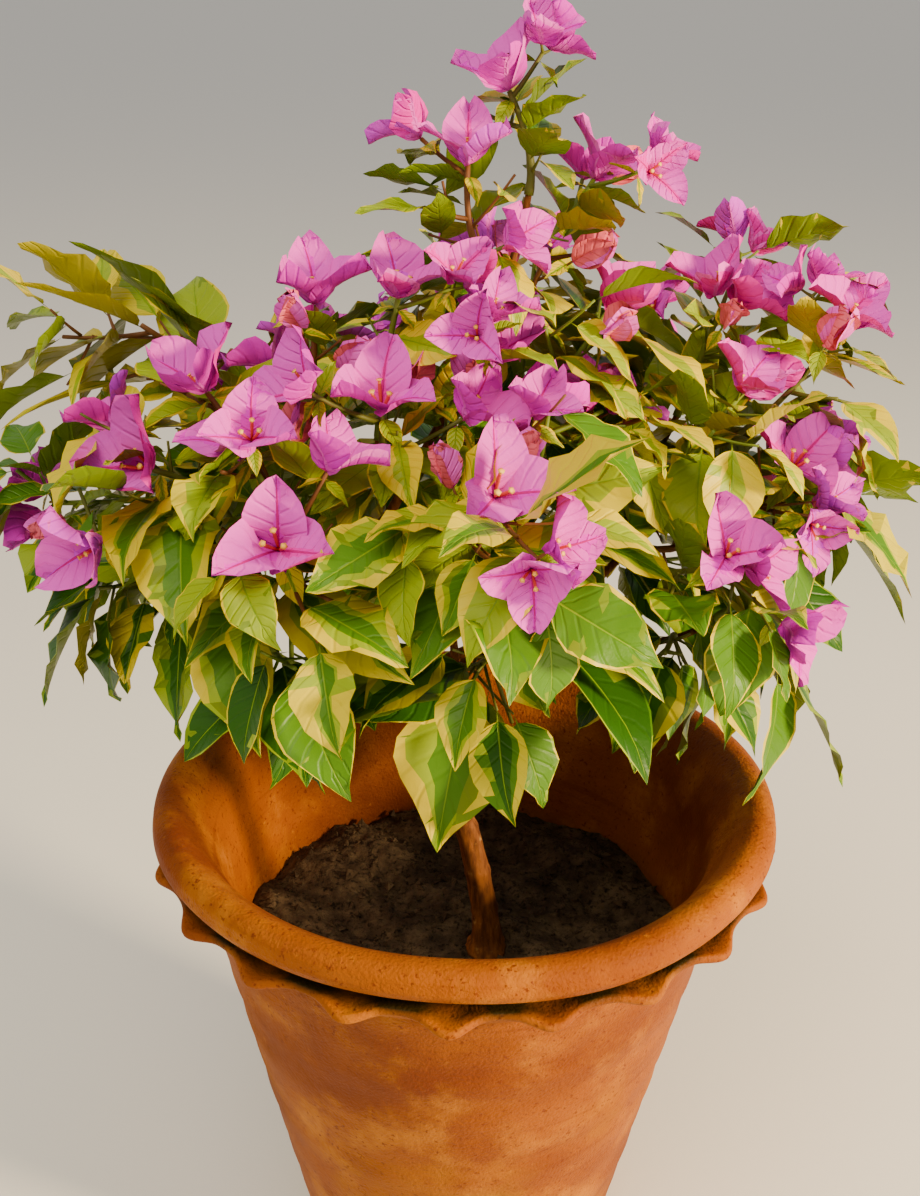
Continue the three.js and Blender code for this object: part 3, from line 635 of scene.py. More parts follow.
def add_piece(name, points, faces, materials, tones=None, smooth=True):
    """A mesh object at the origin from points in millimetres and arrays of faces."""
    mesh = bpy.data.meshes.new(name)
    rows = [face for block in faces for face in block.tolist()]
    mesh.from_pydata((points.reshape(-1, 3) * MM).tolist(), [], rows)
    for material in materials:
        mesh.materials.append(material)
    if tones is not None:
        mesh.polygons.foreach_set("material_index", tones.astype(np.int32))
    mesh.polygons.foreach_set("use_smooth", np.full(len(rows), smooth))
    mesh.update()
    piece = bpy.data.objects.new(name, mesh)
    bpy.context.scene.collection.objects.link(piece)
    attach(piece, "root")
    return piece


def stand_for(piece, nodes):
    """Hides the nodes of the part that the piece replaces."""
    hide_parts(*nodes)


def mark(piece, name, values):
    """A number for each point of a mesh, for its material to read."""
    attribute = piece.data.attributes.new(name, "FLOAT", "POINT")
    attribute.data.foreach_set("value", values.astype(np.float32).ravel())


def sharpen(piece, pairs):
    """Marks the edges between the given pairs of points as sharp."""
    mesh = piece.data
    ends = np.zeros(len(mesh.edges) * 2, np.int64)
    mesh.edges.foreach_get("vertices", ends)
    ends, pairs = np.sort(ends.reshape(-1, 2), axis=1), np.sort(pairs, axis=1)
    total = len(mesh.vertices)
    sharp = np.isin(ends[:, 0] * total + ends[:, 1], pairs[:, 0] * total + pairs[:, 1])
    mesh.attributes.new("sharp_edge", "BOOLEAN", "EDGE").data.foreach_set("value", sharp)


def sine_noise(points, seed, scale, waves=9):
    """A sum of sine waves in random directions, each shorter and lower than the one before."""
    rng = np.random.default_rng(seed)
    total = np.zeros(points.shape[:-1])
    for wave in range(waves):
        direction = rng.normal(size=3)
        direction *= (1 + 0.45 * wave) / (scale * np.linalg.norm(direction))
        total += np.sin(points @ direction + rng.uniform(0, 6.3)) / (1 + 0.5 * wave)
    return total / 2.5


def quads(at):
    """Quads between the rows and columns of an array of point numbers."""
    return np.stack([at[:-1, :-1], at[:-1, 1:], at[1:, 1:], at[1:, :-1]], axis=-1).reshape(-1, 4)


def ring_faces(rows, columns, closed=True):
    """Quads of rows of points, each row a ring, and the rows closed into a ring as well or not."""
    at = np.arange(rows * columns).reshape(rows, columns)
    at = np.concatenate([at, at[:1]]) if closed else at
    return quads(np.concatenate([at, at[:, :1]], axis=1))


def fan(ring, pole, inward):
    """Triangles between a ring of point numbers and a pole, wound one way or the other."""
    near, far = (np.roll(ring, -1), ring) if inward else (ring, np.roll(ring, -1))
    return np.stack([near, far, np.full(len(ring), pole)], axis=1)


def repeated(faces, count, size):
    """The faces of one shape for count copies, each with size points."""
    return (faces[None] + size * np.arange(count)[:, None, None]).reshape(-1, faces.shape[1])


def around(radius, z, angle):
    """Points (r cos a, r sin a, z)."""
    x, y = radius * np.cos(angle), radius * np.sin(angle)
    return np.stack([x, y, np.broadcast_to(z, x.shape)], axis=-1)


def each(values):
    return values[:, None, None]


def sheet_points(base, along, side, height, axes):
    """base + along a0 + side a1 + height a2 for every point of every copy."""
    points = each(base) + along[..., None] * each(axes[0])
    return points + side[..., None] * each(axes[1]) + height[..., None] * each(axes[2])


def tubes(centres, radii, sides, relief=None):
    """Closed round tubes along lines of points.

    Each ring is centre + radius (side cos a + other sin a). The side direction is carried along the
    line, less its part along the tangent. The ends are fans to a point on the line.
    """
    count, stations = centres.shape[:2]
    tangents = np.gradient(centres, axis=1)
    tangents /= np.linalg.norm(tangents, axis=2, keepdims=True)
    sides_at = np.zeros_like(centres)
    side = np.cross(tangents[:, 0], vector(0.31, 0.94, 0.17))
    for i in range(stations):
        side = side - np.sum(side * tangents[:, i], axis=1, keepdims=True) * tangents[:, i]
        side /= np.linalg.norm(side, axis=1, keepdims=True)
        sides_at[:, i] = side
    others = np.cross(tangents, sides_at)
    angle = 2 * math.pi * np.arange(sides) / sides
    radius = radii[:, :, None] * (1 if relief is None else relief(centres, angle))
    ring = sides_at[:, :, None] * np.cos(angle)[:, None] + others[:, :, None] * np.sin(angle)[:, None]
    rings = centres[:, :, None] + radius[..., None] * ring
    points = np.concatenate([rings.reshape(count, -1, 3), centres[:, :1], centres[:, -1:]], axis=1)
    total = stations * sides
    first = np.arange(sides)
    ends = np.concatenate([fan(first, total, True), fan(first + total - sides, total + 1, False)])
    faces = (ring_faces(stations, sides, closed=False), ends)
    return points.reshape(-1, 3), [repeated(block, count, total + 2) for block in faces]


RIBS = 8
STRIPS = RIBS - 1


def blade_faces(rows):
    """Triangles and quads of one closed blade, and the pairs of points along its outline.

    The points are the base, the rows of eight points of the upper side, the lower middle points and
    the tip. The upper side has seven strips and the lower side two, which share the outline. The
    triangles are the base fan, the tip fan and four below, and the quads the upper and lower side.
    """
    upper = 1 + np.arange(rows * RIBS).reshape(rows, RIBS)
    lower = 1 + rows * RIBS + np.arange(rows)
    tip = 1 + rows * (RIBS + 1)
    left, right = upper[:, 0], upper[:, -1]
    base_fan = np.stack([np.zeros(STRIPS, int), upper[0, 1:], upper[0, :-1]], axis=1)
    tip_fan = np.stack([upper[-1, :-1], upper[-1, 1:], np.full(STRIPS, tip)], axis=1)
    below = np.array([
        (0, left[0], lower[0]),
        (0, lower[0], right[0]),
        (left[-1], tip, lower[-1]),
        (lower[-1], tip, right[-1]),
    ])
    left_strip = np.stack([left[:-1], left[1:], lower[1:], lower[:-1]], axis=1)
    right_strip = np.stack([lower[:-1], lower[1:], right[1:], right[:-1]], axis=1)
    chains = [np.concatenate([[0], side, [tip]]) for side in (left, right)]
    outline = np.concatenate([np.stack([chain[:-1], chain[1:]], axis=1) for chain in chains])
    triangles = np.concatenate([base_fan, tip_fan, below])
    return triangles, np.concatenate([quads(upper), left_strip, right_strip]), outline


def blades(name, surface, rows, columns, thickness, strip_tones, under_tone, materials):
    """Joined closed blades whose upper side is surface(s, q, 0).

    s runs from 0 at the base to 1 at the tip and q from -1 to 1 across. The lower side is a ridge
    one thickness under the middle line. strip_tones holds a material number for each copy, each
    segment from base to tip and each of the seven strips.
    """
    count = len(columns)
    s = np.broadcast_to(rows[None, :, None], columns.shape)
    middle = np.zeros((count, len(rows), 1))
    lower = surface(s[:, :, :1], middle, -thickness)[:, :, 0]
    base, tip = (surface(np.full((count, 1, 1), end), middle[:, :1], 0)[:, 0] for end in (0.0, 1.0))
    upper = surface(s, columns, 0).reshape(count, -1, 3)
    points = np.concatenate([base, upper, lower, tip], axis=1)
    faces = [repeated(block, count, points.shape[1]) for block in blade_faces(len(rows))]
    fan_tones = [strip_tones[:, 0], strip_tones[:, -1], under_tone[:, None].repeat(4, 1)]
    under = under_tone[:, None].repeat(2 * (len(rows) - 1), 1)
    grid_tones = [strip_tones[:, 1:-1].reshape(count, -1), under]
    tones = np.concatenate([np.concatenate(block, axis=1).ravel() for block in (fan_tones, grid_tones)])
    piece = add_piece(name, points, faces[:2], materials, tones)
    sharpen(piece, faces[2])
    none = np.zeros((count, 1))
    spacing = 0.8 + 0.4 * (np.arange(count)[:, None] * 0.618 % 1)
    along = [none, spacing * s.reshape(count, -1), spacing * s[..., 0], spacing]
    mark(piece, "along", np.concatenate(along, axis=1))
    mark(piece, "across", np.concatenate([none, columns.reshape(count, -1), 0 * s[..., 0], none], axis=1))
    return piece


# Materials


def add_node(tree, kind, settings=None, inputs=None):
    """A node with its settings; an input is a value or a socket to link from."""
    node = tree.nodes.new("ShaderNode" + kind)
    for key, value in (settings or {}).items():
        setattr(node, key, value)
    feed(tree, node, inputs or {})
    return node


def feed(tree, node, inputs):
    for key, value in inputs.items():
        if isinstance(value, bpy.types.NodeSocket):
            tree.links.new(value, node.inputs[key])
        else:
            node.inputs[key].default_value = value


def work(tree, operation, first, second=0.0):
    """The value of a Math node."""
    return add_node(tree, "Math", {"operation": operation}, {0: first, 1: second}).outputs[0]


def ramp(tree, value, low, high):
    """0 to 1 in a soft step between two values."""
    inputs = {"Value": value, "From Min": low, "From Max": high}
    return add_node(tree, "MapRange", {"interpolation_type": "SMOOTHSTEP"}, inputs).outputs[0]


def noise(tree, place, scale, detail, roughness=0.5):
    inputs = {"Vector": place, "Scale": scale, "Detail": detail, "Roughness": roughness}
    return add_node(tree, "TexNoise", None, inputs).outputs["Fac"]


def mottle_group(tree, given):
    """Two colours mixed by soft noise; Spread is the share of the second and Edge its sharpness."""
    middle = work(tree, "SUBTRACT", 1.0, given["Spread"])
    low, high = (work(tree, step, middle, given["Edge"]) for step in ("SUBTRACT", "ADD"))
    mask = ramp(tree, noise(tree, given["Vector"], given["Scale"], 6.0, 0.6), low, high)
    mix = add_node(tree, "Mix", {"data_type": "RGBA"}, {0: mask, 6: given["First"], 7: given["Second"]})
    return {"Colour": mix.outputs[2], "Mask": mask}


def grain_group(tree, given):
    """A height of fine noise over coarse noise, for a Bump node."""
    coarse = noise(tree, given["Vector"], given["Coarse"], 4.0)
    fine = noise(tree, given["Vector"], given["Fine"], 3.0)
    mix = add_node(tree, "Mix", {"data_type": "FLOAT"}, {0: given["Share"], 2: coarse, 3: fine})
    return {"Height": mix.outputs[0]}


def vein_group(tree, given):
    """A height that dips along the midrib and along side veins, which lean toward the tip."""
    away = work(tree, "ABSOLUTE", given["Across"])
    lean = work(tree, "SUBTRACT", given["Along"], work(tree, "MULTIPLY", away, 0.24))
    place = work(tree, "MULTIPLY", lean, given["Number"])
    side = ramp(tree, work(tree, "PINGPONG", place, 0.5), 0.0, 0.2)
    return {"Height": work(tree, "MULTIPLY", side, ramp(tree, away, 0.0, 0.08))}


# For each shared group: its builder, its outputs' kinds and its inputs' kinds
GROUPS = {
    "Mottle": (mottle_group, "Colour Color, Mask Float",
               "Vector Vector, First Color, Second Color, Scale Float, Spread Float, Edge Float"),
    "Grain": (grain_group, "Height Float", "Vector Vector, Coarse Float, Fine Float, Share Float"),
    "Veins": (vein_group, "Height Float", "Along Float, Across Float, Number Float"),
}


def shared_group(name):
    """A shader node group with named inputs and outputs, built once."""
    if name in bpy.data.node_groups:
        return bpy.data.node_groups[name]
    build, outputs, inputs = GROUPS[name]
    tree = bpy.data.node_groups.new(name, "ShaderNodeTree")
    for way, sockets in (("INPUT", inputs), ("OUTPUT", outputs)):
        for socket, kind in (words.split() for words in sockets.split(", ")):
            tree.interface.new_socket(socket, in_out=way, socket_type="NodeSocket" + kind)
    feed(tree, tree.nodes.new("NodeGroupOutput"), build(tree, tree.nodes.new("NodeGroupInput").outputs))
    return tree


class Finish:
    """A material with one Principled shader, to which effects are added in order."""

    def __init__(self, name, roughness, specular):
        self.material = bpy.data.materials.new(name)
        self.material.use_nodes = True
        self.tree = self.material.node_tree
        self.set(Roughness=roughness, **{"Specular IOR Level": specular})
        self.place = self.node("TexCoord").outputs["Object"]

    def set(self, **inputs):
        feed(self.tree, self.tree.nodes["Principled BSDF"], inputs)

    def node(self, kind, settings=None, inputs=None):
        return add_node(self.tree, kind, settings, inputs)

    def group(self, name, **inputs):
        return self.node("Group", {"node_tree": shared_group(name)}, inputs).outputs

    def attribute(self, name):
        return self.node("Attribute", {"attribute_name": name}).outputs["Fac"]

    def stretched(self, scale):
        """Object coordinates drawn out along the axes."""
        return self.node("Mapping", None, {"Vector": self.place, "Scale": scale}).outputs[0]

    def mottle(self, first, second, scale, spread, edge, place=None):
        """The colour and mask of the Mottle group."""
        look = {"First": first, "Second": second, "Scale": scale, "Spread": spread, "Edge": edge}
        made = self.group("Mottle", Vector=place or self.place, **look)
        return made["Colour"], made["Mask"]

    def mix(self, factor, first, second):
        """Two colours mixed by a factor."""
        return self.node("Mix", {"data_type": "RGBA"}, {0: factor, 6: first, 7: second}).outputs[2]

    def bump(self, distance, height, **inputs):
        """A Bump node that feeds Normal."""
        made = self.node("Bump", None, {"Distance": distance, "Height": height, **inputs}).outputs[0]
        self.set(Normal=made)
        return made

    def grain(self, strength, distance, coarse, fine, share):
        """The Grain group as the height of a bump."""
        made = self.group("Grain", Vector=self.place, Coarse=coarse, Fine=fine, Share=share)
        return self.bump(distance, made["Height"], Strength=strength)

    def veins(self, number, distance, normal):
        """The Veins group as the height of a second bump over the given normal."""
        place = {"Along": self.attribute("along"), "Across": self.attribute("across")}
        self.bump(distance, self.group("Veins", Number=number, **place)["Height"], Normal=normal)

    def colour(self, value):
        self.set(**{"Base Color": value})
        return self

    def rough(self, mask, low, high):
        """Roughness from low to high by a mask."""
        inputs = {"Value": mask, "To Min": low, "To Max": high}
        self.set(Roughness=self.node("MapRange", None, inputs).outputs[0])


def plain_finish(name, colour, roughness=0.5, specular=0.4, coat=0.0, crinkle=0.25, veins=None):
    """A plain colour over a fine grain, and for a blade over its veins as (number, depth)."""
    finish = Finish(name, roughness, specular).colour(colour)
    finish.set(**{"Coat Weight": coat, "Coat Roughness": 0.35})
    normal = finish.grain(crinkle, 0.0008, 130, 620, 0.35)
    if veins:
        finish.veins(*veins, normal)
    return finish.material


def rgb(red, green, blue):
    """A linear colour from screen values of 0 to 255: (v / 255) to the power 2.2."""
    return tuple((value / 255) ** 2.2 for value in (red, green, blue)) + (1.0,)


# Pot


def arc(centre, radius, first, last, count):
    """Points of (radius, height) on a circle from the first to the last angle in degrees."""
    angle = np.radians(np.linspace(first, last, count))
    return np.stack([centre[0] + radius * np.cos(angle), centre[1] + radius * np.sin(angle)], axis=1)


def chain(corners, counts):
    """Points of (radius, height) evenly from corner to corner, as many as counted, less the last."""
    steps = []
    for start, end, count in zip(corners, corners[1:], counts):
        t = np.arange(count)[:, None] / count
        steps.append(np.array(start) * (1 - t) + np.array(end) * t)
    return np.concatenate(steps)


def circle(count):
    return 2 * math.pi * np.arange(count) / count


def spun(x, y, turn):
    """x and y turned about the upright axis."""
    return x * np.cos(turn) - y * np.sin(turn), x * np.sin(turn) + y * np.cos(turn)


def outer_radius(z):
    return POT["base"] + POT["slope"] * z


def pot_waver(angle, height):
    """Growth and lift of the wall: low waves round the pot that fade out at the flat underside."""
    share = np.clip(height / 120, 0, 1)
    rings = 0.22 * np.sin(height * 0.9) + 0.3 * np.sin(height * 0.23 + np.sin(angle * 2))
    grow = share * (0.5 * np.sin(2 * angle + 0.6) + 0.3 * np.sin(5 * angle + 2) + rings)
    lift = np.clip((height - 250) / 60, 0, 1) * (0.7 * np.sin(3 * angle + 1) + 0.5 * np.sin(7 * angle))
    return grow, lift


def make_wall():
    """The wall of the pot with its rolled rim: a closed profile carried round the upright axis.

    Point (i, a) is (r cos a, r sin a, z) of profile point i, with r and z changed by the hand's
    uneven pull on the wheel.
    """
    neck, wall, foot = outer_radius(POT["neck"]), POT["wall"], (80, 0)

    def side(z, inward=0):
        return outer_radius(z) - inward, z

    inner = [(neck - wall + 1, BAND["back"]), side(240, wall), side(POT["floor"], wall), foot]
    profile = np.concatenate([
        chain([foot, side(0, 3)], [2]),
        arc(side(4, 4), 4, -80, -10, 5),
        chain([side(8), side(BAND["foot"]), (neck, POT["neck"]), (neck + 1.5, 307)], [44, 5, 3]),
        arc(ROLL["at"], ROLL["radius"], -128, 128, 30),
        chain([(neck + 0.5, 321), *inner], [5, 8, 20, 3]),
    ])
    angle = circle(192)
    grow, lift = pot_waver(angle, profile[:, 1:])
    return around(profile[:, :1] + grow, profile[:, 1:] + lift, angle), ring_faces(len(profile), 192)


def make_floor():
    """The floor of the pot with its drain holes.

    Each hole lies in a third of the disc. Seen from the hole's middle, a ray at angle b meets the
    edge of its third at distance e(b). Point (b, t) of the upper and lower side stands at the hole's
    radius for t = 0 and at e(b) for t = 1, and the two sides close on each other at both.
    """
    disc, steps, rays = 82.0, 7, 48
    ring, count = DRAIN["ring"], DRAIN["count"]
    sine, cosine = math.sin(math.pi / count), math.cos(math.pi / count)
    angle = circle(rays)
    direct = np.stack([np.cos(angle), np.sin(angle)], axis=1)
    along = direct[:, 0] * ring
    to_arc = -along + np.sqrt(along**2 + disc**2 - ring**2)
    toward = direct @ np.array(((-sine, cosine), (-sine, -cosine))).T
    to_sides = np.where(toward > 1e-9, ring * sine / np.maximum(toward, 1e-9), 1e9).min(axis=1)
    t = np.concatenate([np.linspace(0, 1, steps), np.linspace(1, 0, steps)])[:, None]
    height = np.repeat((GAP, POT["floor"] - GAP), steps)[:, None]
    distance = DRAIN["radius"] + (np.minimum(to_arc, to_sides) - DRAIN["radius"]) * t
    turn = each(circle(count) + math.pi / 6)
    x, y = spun(ring + distance * direct[:, 0], distance * direct[:, 1], turn)
    points = np.stack([x, y, np.broadcast_to(height, x.shape)], axis=-1)
    return points, repeated(ring_faces(2 * steps, rays), count, 2 * steps * rays)


def make_band():
    """The crimped band under the roll.

    Its section runs out along the underside to a rounded lip and back along the top into the wall.
    With x = n a - phase the wave is cos x - 0.18 cos 2x, which has wide bays and pointed lobes. The
    lip stands at radius edge - swing wave and at height h + rise wave.
    """
    segments = BAND["waves"] * 18
    angle = circle(segments)
    press = 0.5 * np.sin(3 * angle + 0.4) + 0.4 * np.sin(8 * angle + 2)
    x = BAND["waves"] * angle - BAND["phase"] + 0.16 * np.sin(4 * angle)
    wave = np.cos(x) - 0.18 * np.cos(2 * x)
    size = BAND["lip"]
    edge = BAND["edge"] - (BAND["swing"] + 0.7 * press) * wave - size
    height = BAND["height"] + (BAND["rise"] + 0.5 * press) * wave

    def place(radius, z):
        return np.stack(np.broadcast_arrays(radius, z, angle)[:2], axis=-1)

    def curve(start, bend, end, count):
        """start (1 - t)^2 + 2 bend t (1 - t) + end t^2"""
        t = each(np.linspace(0, 1, count))
        return start * (1 - t) ** 2 + 2 * bend * t * (1 - t) + end * t * t

    turn = each(np.radians(np.linspace(-60, 75, 6)))
    lip = place(edge, height) + size * np.concatenate([np.cos(turn), np.sin(turn)], axis=2)
    foot = BAND["foot"]
    start, bend = place(outer_radius(foot) - 3, foot), place(outer_radius(290) + 1.5, (foot + height) / 2)
    below = curve(start, bend, place(edge + 0.3 * size, height - size), 8)
    dip, back = place(outer_radius(300) + 1, height + 0.5), place(outer_radius(300) - 5, BAND["back"])
    section = np.concatenate([below, lip, curve(place(edge, height + size), dip, back, 6)])
    return around(section[..., 0], section[..., 1], angle), ring_faces(len(section), segments)


def moss_and_shade_share(points):
    """The share of moss and painted shade: 1.4 in the joint between band and roll, fading with the distance
    from it, on the outside only.
    """
    radius, height = np.hypot(points[..., 0], points[..., 1]), points[..., 2]
    joint = np.exp(-(((height - 304) / 6) ** 2)) * np.clip((171.5 - radius) / 5, 0, 1)
    return 1.4 * joint * (radius > outer_radius(height) - 4)


def terracotta(colours):
    """Fired clay: golden orange with redder patches, worn flecks, wheel lines, bloom, and moss with painted
    shade in the joint under the rim.
    """
    finish = Finish("terracotta", 0.8, 0.12)
    lines = finish.stretched((7, 7, 240))
    clay = colours.clay
    for second, scale, spread, edge, place in (
        (colours.clay_dark, 9, 0.48, 0.22, None),
        (colours.clay_dark, 1.0, 0.3, 0.2, lines),
        (colours.clay_light, 22, 0.36, 0.16, None),
        (colours.clay_light, 190, 0.3, 0.08, None),
        (colours.clay_dark, 380, 0.38, 0.05, None),
    ):
        clay = finish.mottle(clay, second, scale, spread, edge, place)[0]
    height = finish.node("SeparateXYZ", None, {0: finish.place}).outputs["Z"]
    inputs = {"Value": height, "From Min": 0.24, "From Max": 0.06, "To Max": 0.55}
    low = finish.node("MapRange", {"interpolation_type": "SMOOTHSTEP"}, inputs).outputs[0]
    bloom = finish.mottle(clay, clay, 13, 0.42, 0.14)[1]
    clay = finish.mix(work(finish.tree, "MULTIPLY", bloom, low), clay, colours.clay_bloom)
    # Moss and painted shade: a dark mottle in the joint between band and roll, where the roll's shadow falls
    moss = finish.mottle(clay, clay, 60, 0.7, 0.25)[1]
    moss = work(finish.tree, "MULTIPLY", finish.attribute("moss"), moss)
    finish.colour(finish.mix(moss, clay, colours.moss))
    finish.rough(bloom, 0.55, 0.8)
    finish.grain(0.9, 0.0016, 90, 600, 0.5)
    return finish.material


# Soil


def soil_height(x, y):
    """The source's slow lumps that fade out round the trunk, with finer clods laid over them."""
    away = np.hypot(x - TRUNK_PATH[0, 0], y - TRUNK_PATH[0, 1])
    fade = np.clip((away - SOIL["flat"]) / 30, 0, 1)
    lumps = np.sin(x * 0.045 + 1.3) * np.cos(y * 0.05) + np.sin((x + y) * 0.11) * 0.4
    place = np.stack([x, y, 0 * x], axis=-1)
    clods = np.abs(sine_noise(place, 5, 3.2)) * 2.2 + np.abs(sine_noise(place, 6, 1.3)) * 1.1
    return SOIL["height"] + fade * SOIL["relief"] * lumps + (0.3 + 0.7 * fade) * (clods - 1.2)


def bore_radius(z):
    return outer_radius(z) - POT["wall"] - 2 * GAP


def make_soil_body():
    """The filled bore: rings from the middle of the underside over the wall to the middle of the top."""
    segments, rings = 200, 74
    foot, bore = bore_radius(POT["floor"]), bore_radius(SOIL["height"])
    angle = circle(segments)
    share = np.concatenate([[0.5], np.ones(6), np.linspace(1, 0.01, rings)])
    level = np.concatenate([[0], np.linspace(0, 1, 6), np.ones(rings)])[:, None]
    radius = (foot + (bore - foot) * level) * share[:, None]
    points = around(radius, 0.0, angle)
    x, y = points[..., 0], points[..., 1]
    top = soil_height(x, y) - 2.5 * np.clip((np.hypot(x, y) - bore + 9) / 9, 0, 1)
    base = POT["floor"] + GAP
    points = np.stack([x, y, base * (1 - level) + top * level], axis=-1).reshape(-1, 3)
    poles = np.array([(0, 0, base), (0, 0, soil_height(0.0, 0.0))])
    first, total = np.arange(segments), len(points)
    caps = [fan(first, total, True), fan(first + total - segments, total + 1, False)]
    return np.concatenate([points, poles]), [ring_faces(len(share), segments, False), np.concatenate(caps)]


def make_crumbs(count):
    """Crumbs of soil: eight sided lumps, each a squashed octahedron with its own size and turn."""
    rng = np.random.default_rng(12)
    radius = (outer_radius(SOIL["height"]) - POT["wall"] - 6) * np.sqrt(rng.uniform(0, 1, count))
    angle = rng.uniform(0, 2 * math.pi, count)
    x, y = radius * np.cos(angle), radius * np.sin(angle)
    size = 0.9 + 3.2 * rng.uniform(0, 1, count) ** 3
    centres = np.stack([x, y, soil_height(x, y) + 0.35 * size], axis=1)
    corners = np.array([(1, 0, 0), (0, 1, 0), (-1, 0, 0), (0, -1, 0), (0, 0, 1), (0, 0, -1)], float)
    shape = corners * rng.uniform(0.6, 1.25, (count, 6, 1)) * each(size)
    shape[..., 2] *= 0.8
    shape += 0.25 * each(size) * rng.normal(size=(count, 6, 3))
    wide, deep = spun(shape[..., 0], shape[..., 1], rng.uniform(0, 6.3, count)[:, None])
    points = np.stack([wide, deep, shape[..., 2]], axis=-1) + centres[:, None]
    sides = [(0, 1, 4), (1, 2, 4), (2, 3, 4), (3, 0, 4), (1, 0, 5), (2, 1, 5), (3, 2, 5), (0, 3, 5)]
    return points, [repeated(np.array(sides), count, 6)]


def soil_finish(colours):
    """Damp loam: two dark browns under a coarse grain."""
    finish = Finish("soil", 0.95, 0.15)
    ground, mask = finish.mottle(colours.soil, colours.soil_light, 70, 0.45, 0.2)
    finish.colour(finish.mottle(ground, colours.soil_dark, 300, 0.42, 0.1)[0])
    finish.rough(mask, 0.85, 1.0)
    finish.grain(0.9, 0.002, 120, 700, 0.5)
    return finish.material


# Limbs and twigs


def rooted(controls, stations, axis, depth):
    """Points along a curve, with one more before them inside its parent."""
    points = curve_points(controls, np.linspace(0, 1, stations))
    return np.concatenate([(points[0] - axis * depth)[None], points])


def bark_relief(seed):
    """Ridges that run along the limb, rings at old leaf scars, and soft lumps."""

    def relief(centres, angle):
        station = np.arange(centres.shape[1])[None, :, None]
        ridges = 0.035 * np.sin(5 * angle + 0.11 * station + seed)
        ridges = ridges + 0.03 * np.sin(9 * angle - 0.07 * station)
        lumps = 0.05 * np.sin(0.31 * station + 2 * np.sin(angle + seed)) * np.sin(angle * 2 + 0.13 * station)
        scar = np.exp(-(((station + 3 * seed) % 17 - 8) ** 2) / 1.6)
        return 1 + ridges + lumps + 0.1 * scar * (1 + 0.6 * np.sin(angle + 2.1 * seed))

    return relief


def bark_finish(colours):
    """Young bark: orange brown with grey streaks along the limb."""
    finish = Finish("bark", 0.8, 0.25)
    streaks = finish.stretched((90, 90, 18))
    brown, mask = finish.mottle(colours.bark, colours.bark_dark, 3.0, 0.5, 0.18, streaks)
    finish.colour(finish.mottle(brown, colours.bark_light, 160, 0.32, 0.1)[0])
    finish.rough(mask, 0.7, 0.9)
    finish.grain(0.6, 0.0006, 300, 1200, 0.4)
    return finish.material


TWIG_RADII = {"twig": (1.3, 1.0), "twiglet": (0.9, 0.6)}
TWIG_TONES = ("olive", "brown", "green")


def twig_lines(sprays):
    """Every stem, and every twig and twiglet, as points with their radii and their spray's tone."""
    made = {"stem": [], "twig": []}
    stem_radii = np.concatenate([[2.4], np.linspace(2.2, 1.3, RINGS["stem"])])
    for spray in sprays:
        tone = spray.index % len(TWIG_TONES)
        stem = rooted(spray.stem.controls, RINGS["stem"], spray.axis, DEPTH["stem"])
        made["stem"].append((stem, stem_radii, tone))
        for (start, end), kind in spray.lines:
            sag = 0.06 * np.linalg.norm(end - start) * UP
            controls = (start, (start + end) / 2 - sag, end)
            points = curve_points(controls, np.linspace(0, 1, RINGS["twig"]))
            made["twig"].append((points, np.linspace(*TWIG_RADII[kind], RINGS["twig"]), tone))
    return made


def node_swelling(centres, angle):
    """A twig is thicker by an eighth at every third ring, where its leaves stand."""
    station = np.arange(centres.shape[1])[None, :, None]
    return 1 + 0.12 * (station % 3 == 1) + 0.05 * np.sin(angle * 2)


# Leaves

# The stalk's share of a leaf and its half width, the power that rounds the foot, and where the crown
# begins to pale, partly as painted sunlight on its top
STALK, STALK_HALF, LEAF_ROUND, PALE_AND_LIT_ABOVE = 0.1, 0.55, 0.72, 450
LEAF_ROWS = np.array((STALK, 0.13, 0.19, 0.27, 0.37, 0.48, 0.6, 0.72, 0.84, 0.93))
LEAF_TONES = ("deep", "green", "lime", "olive", "cream", "yellow", "rib", "under", "under_yellow")

# A blade's seven strips from margin to margin
MARGINS, MIDDLES, INNERS, MIDRIB = (0, 6), (1, 5), (2, 4), 3


def gather(sprays, key, *fields):
    """Fields of every leaf or blossom of the sprays as arrays."""
    items = [item for spray in sprays for item in getattr(spray, key)]
    return [np.array([item[field] for item in items], float) for field in fields]


def spray_numbers(sprays, key, each_has=1):
    """The number of its spray for every leaf, blossom or bract."""
    return np.repeat(np.arange(len(sprays)), [each_has * len(getattr(spray, key)) for spray in sprays])


def numbered(tones):
    return {name: number for number, name in enumerate(tones)}


def drawer(rng, count):
    """Draws one number for each blade, ready to be spread over its points."""
    return lambda low, high: each(rng.uniform(low, high, count))


def toned_finishes(kind, tones, settings, *look):
    """A plain finish for each tone of a kind, coloured by the setting of the same name."""
    return [plain_finish(kind + tone, getattr(settings, kind + tone), *look) for tone in tones]


def past_stalk(s):
    """0 to 1 from the end of the stalk to the tip."""
    return np.clip((s - STALK) / (1 - STALK), 0, 1)


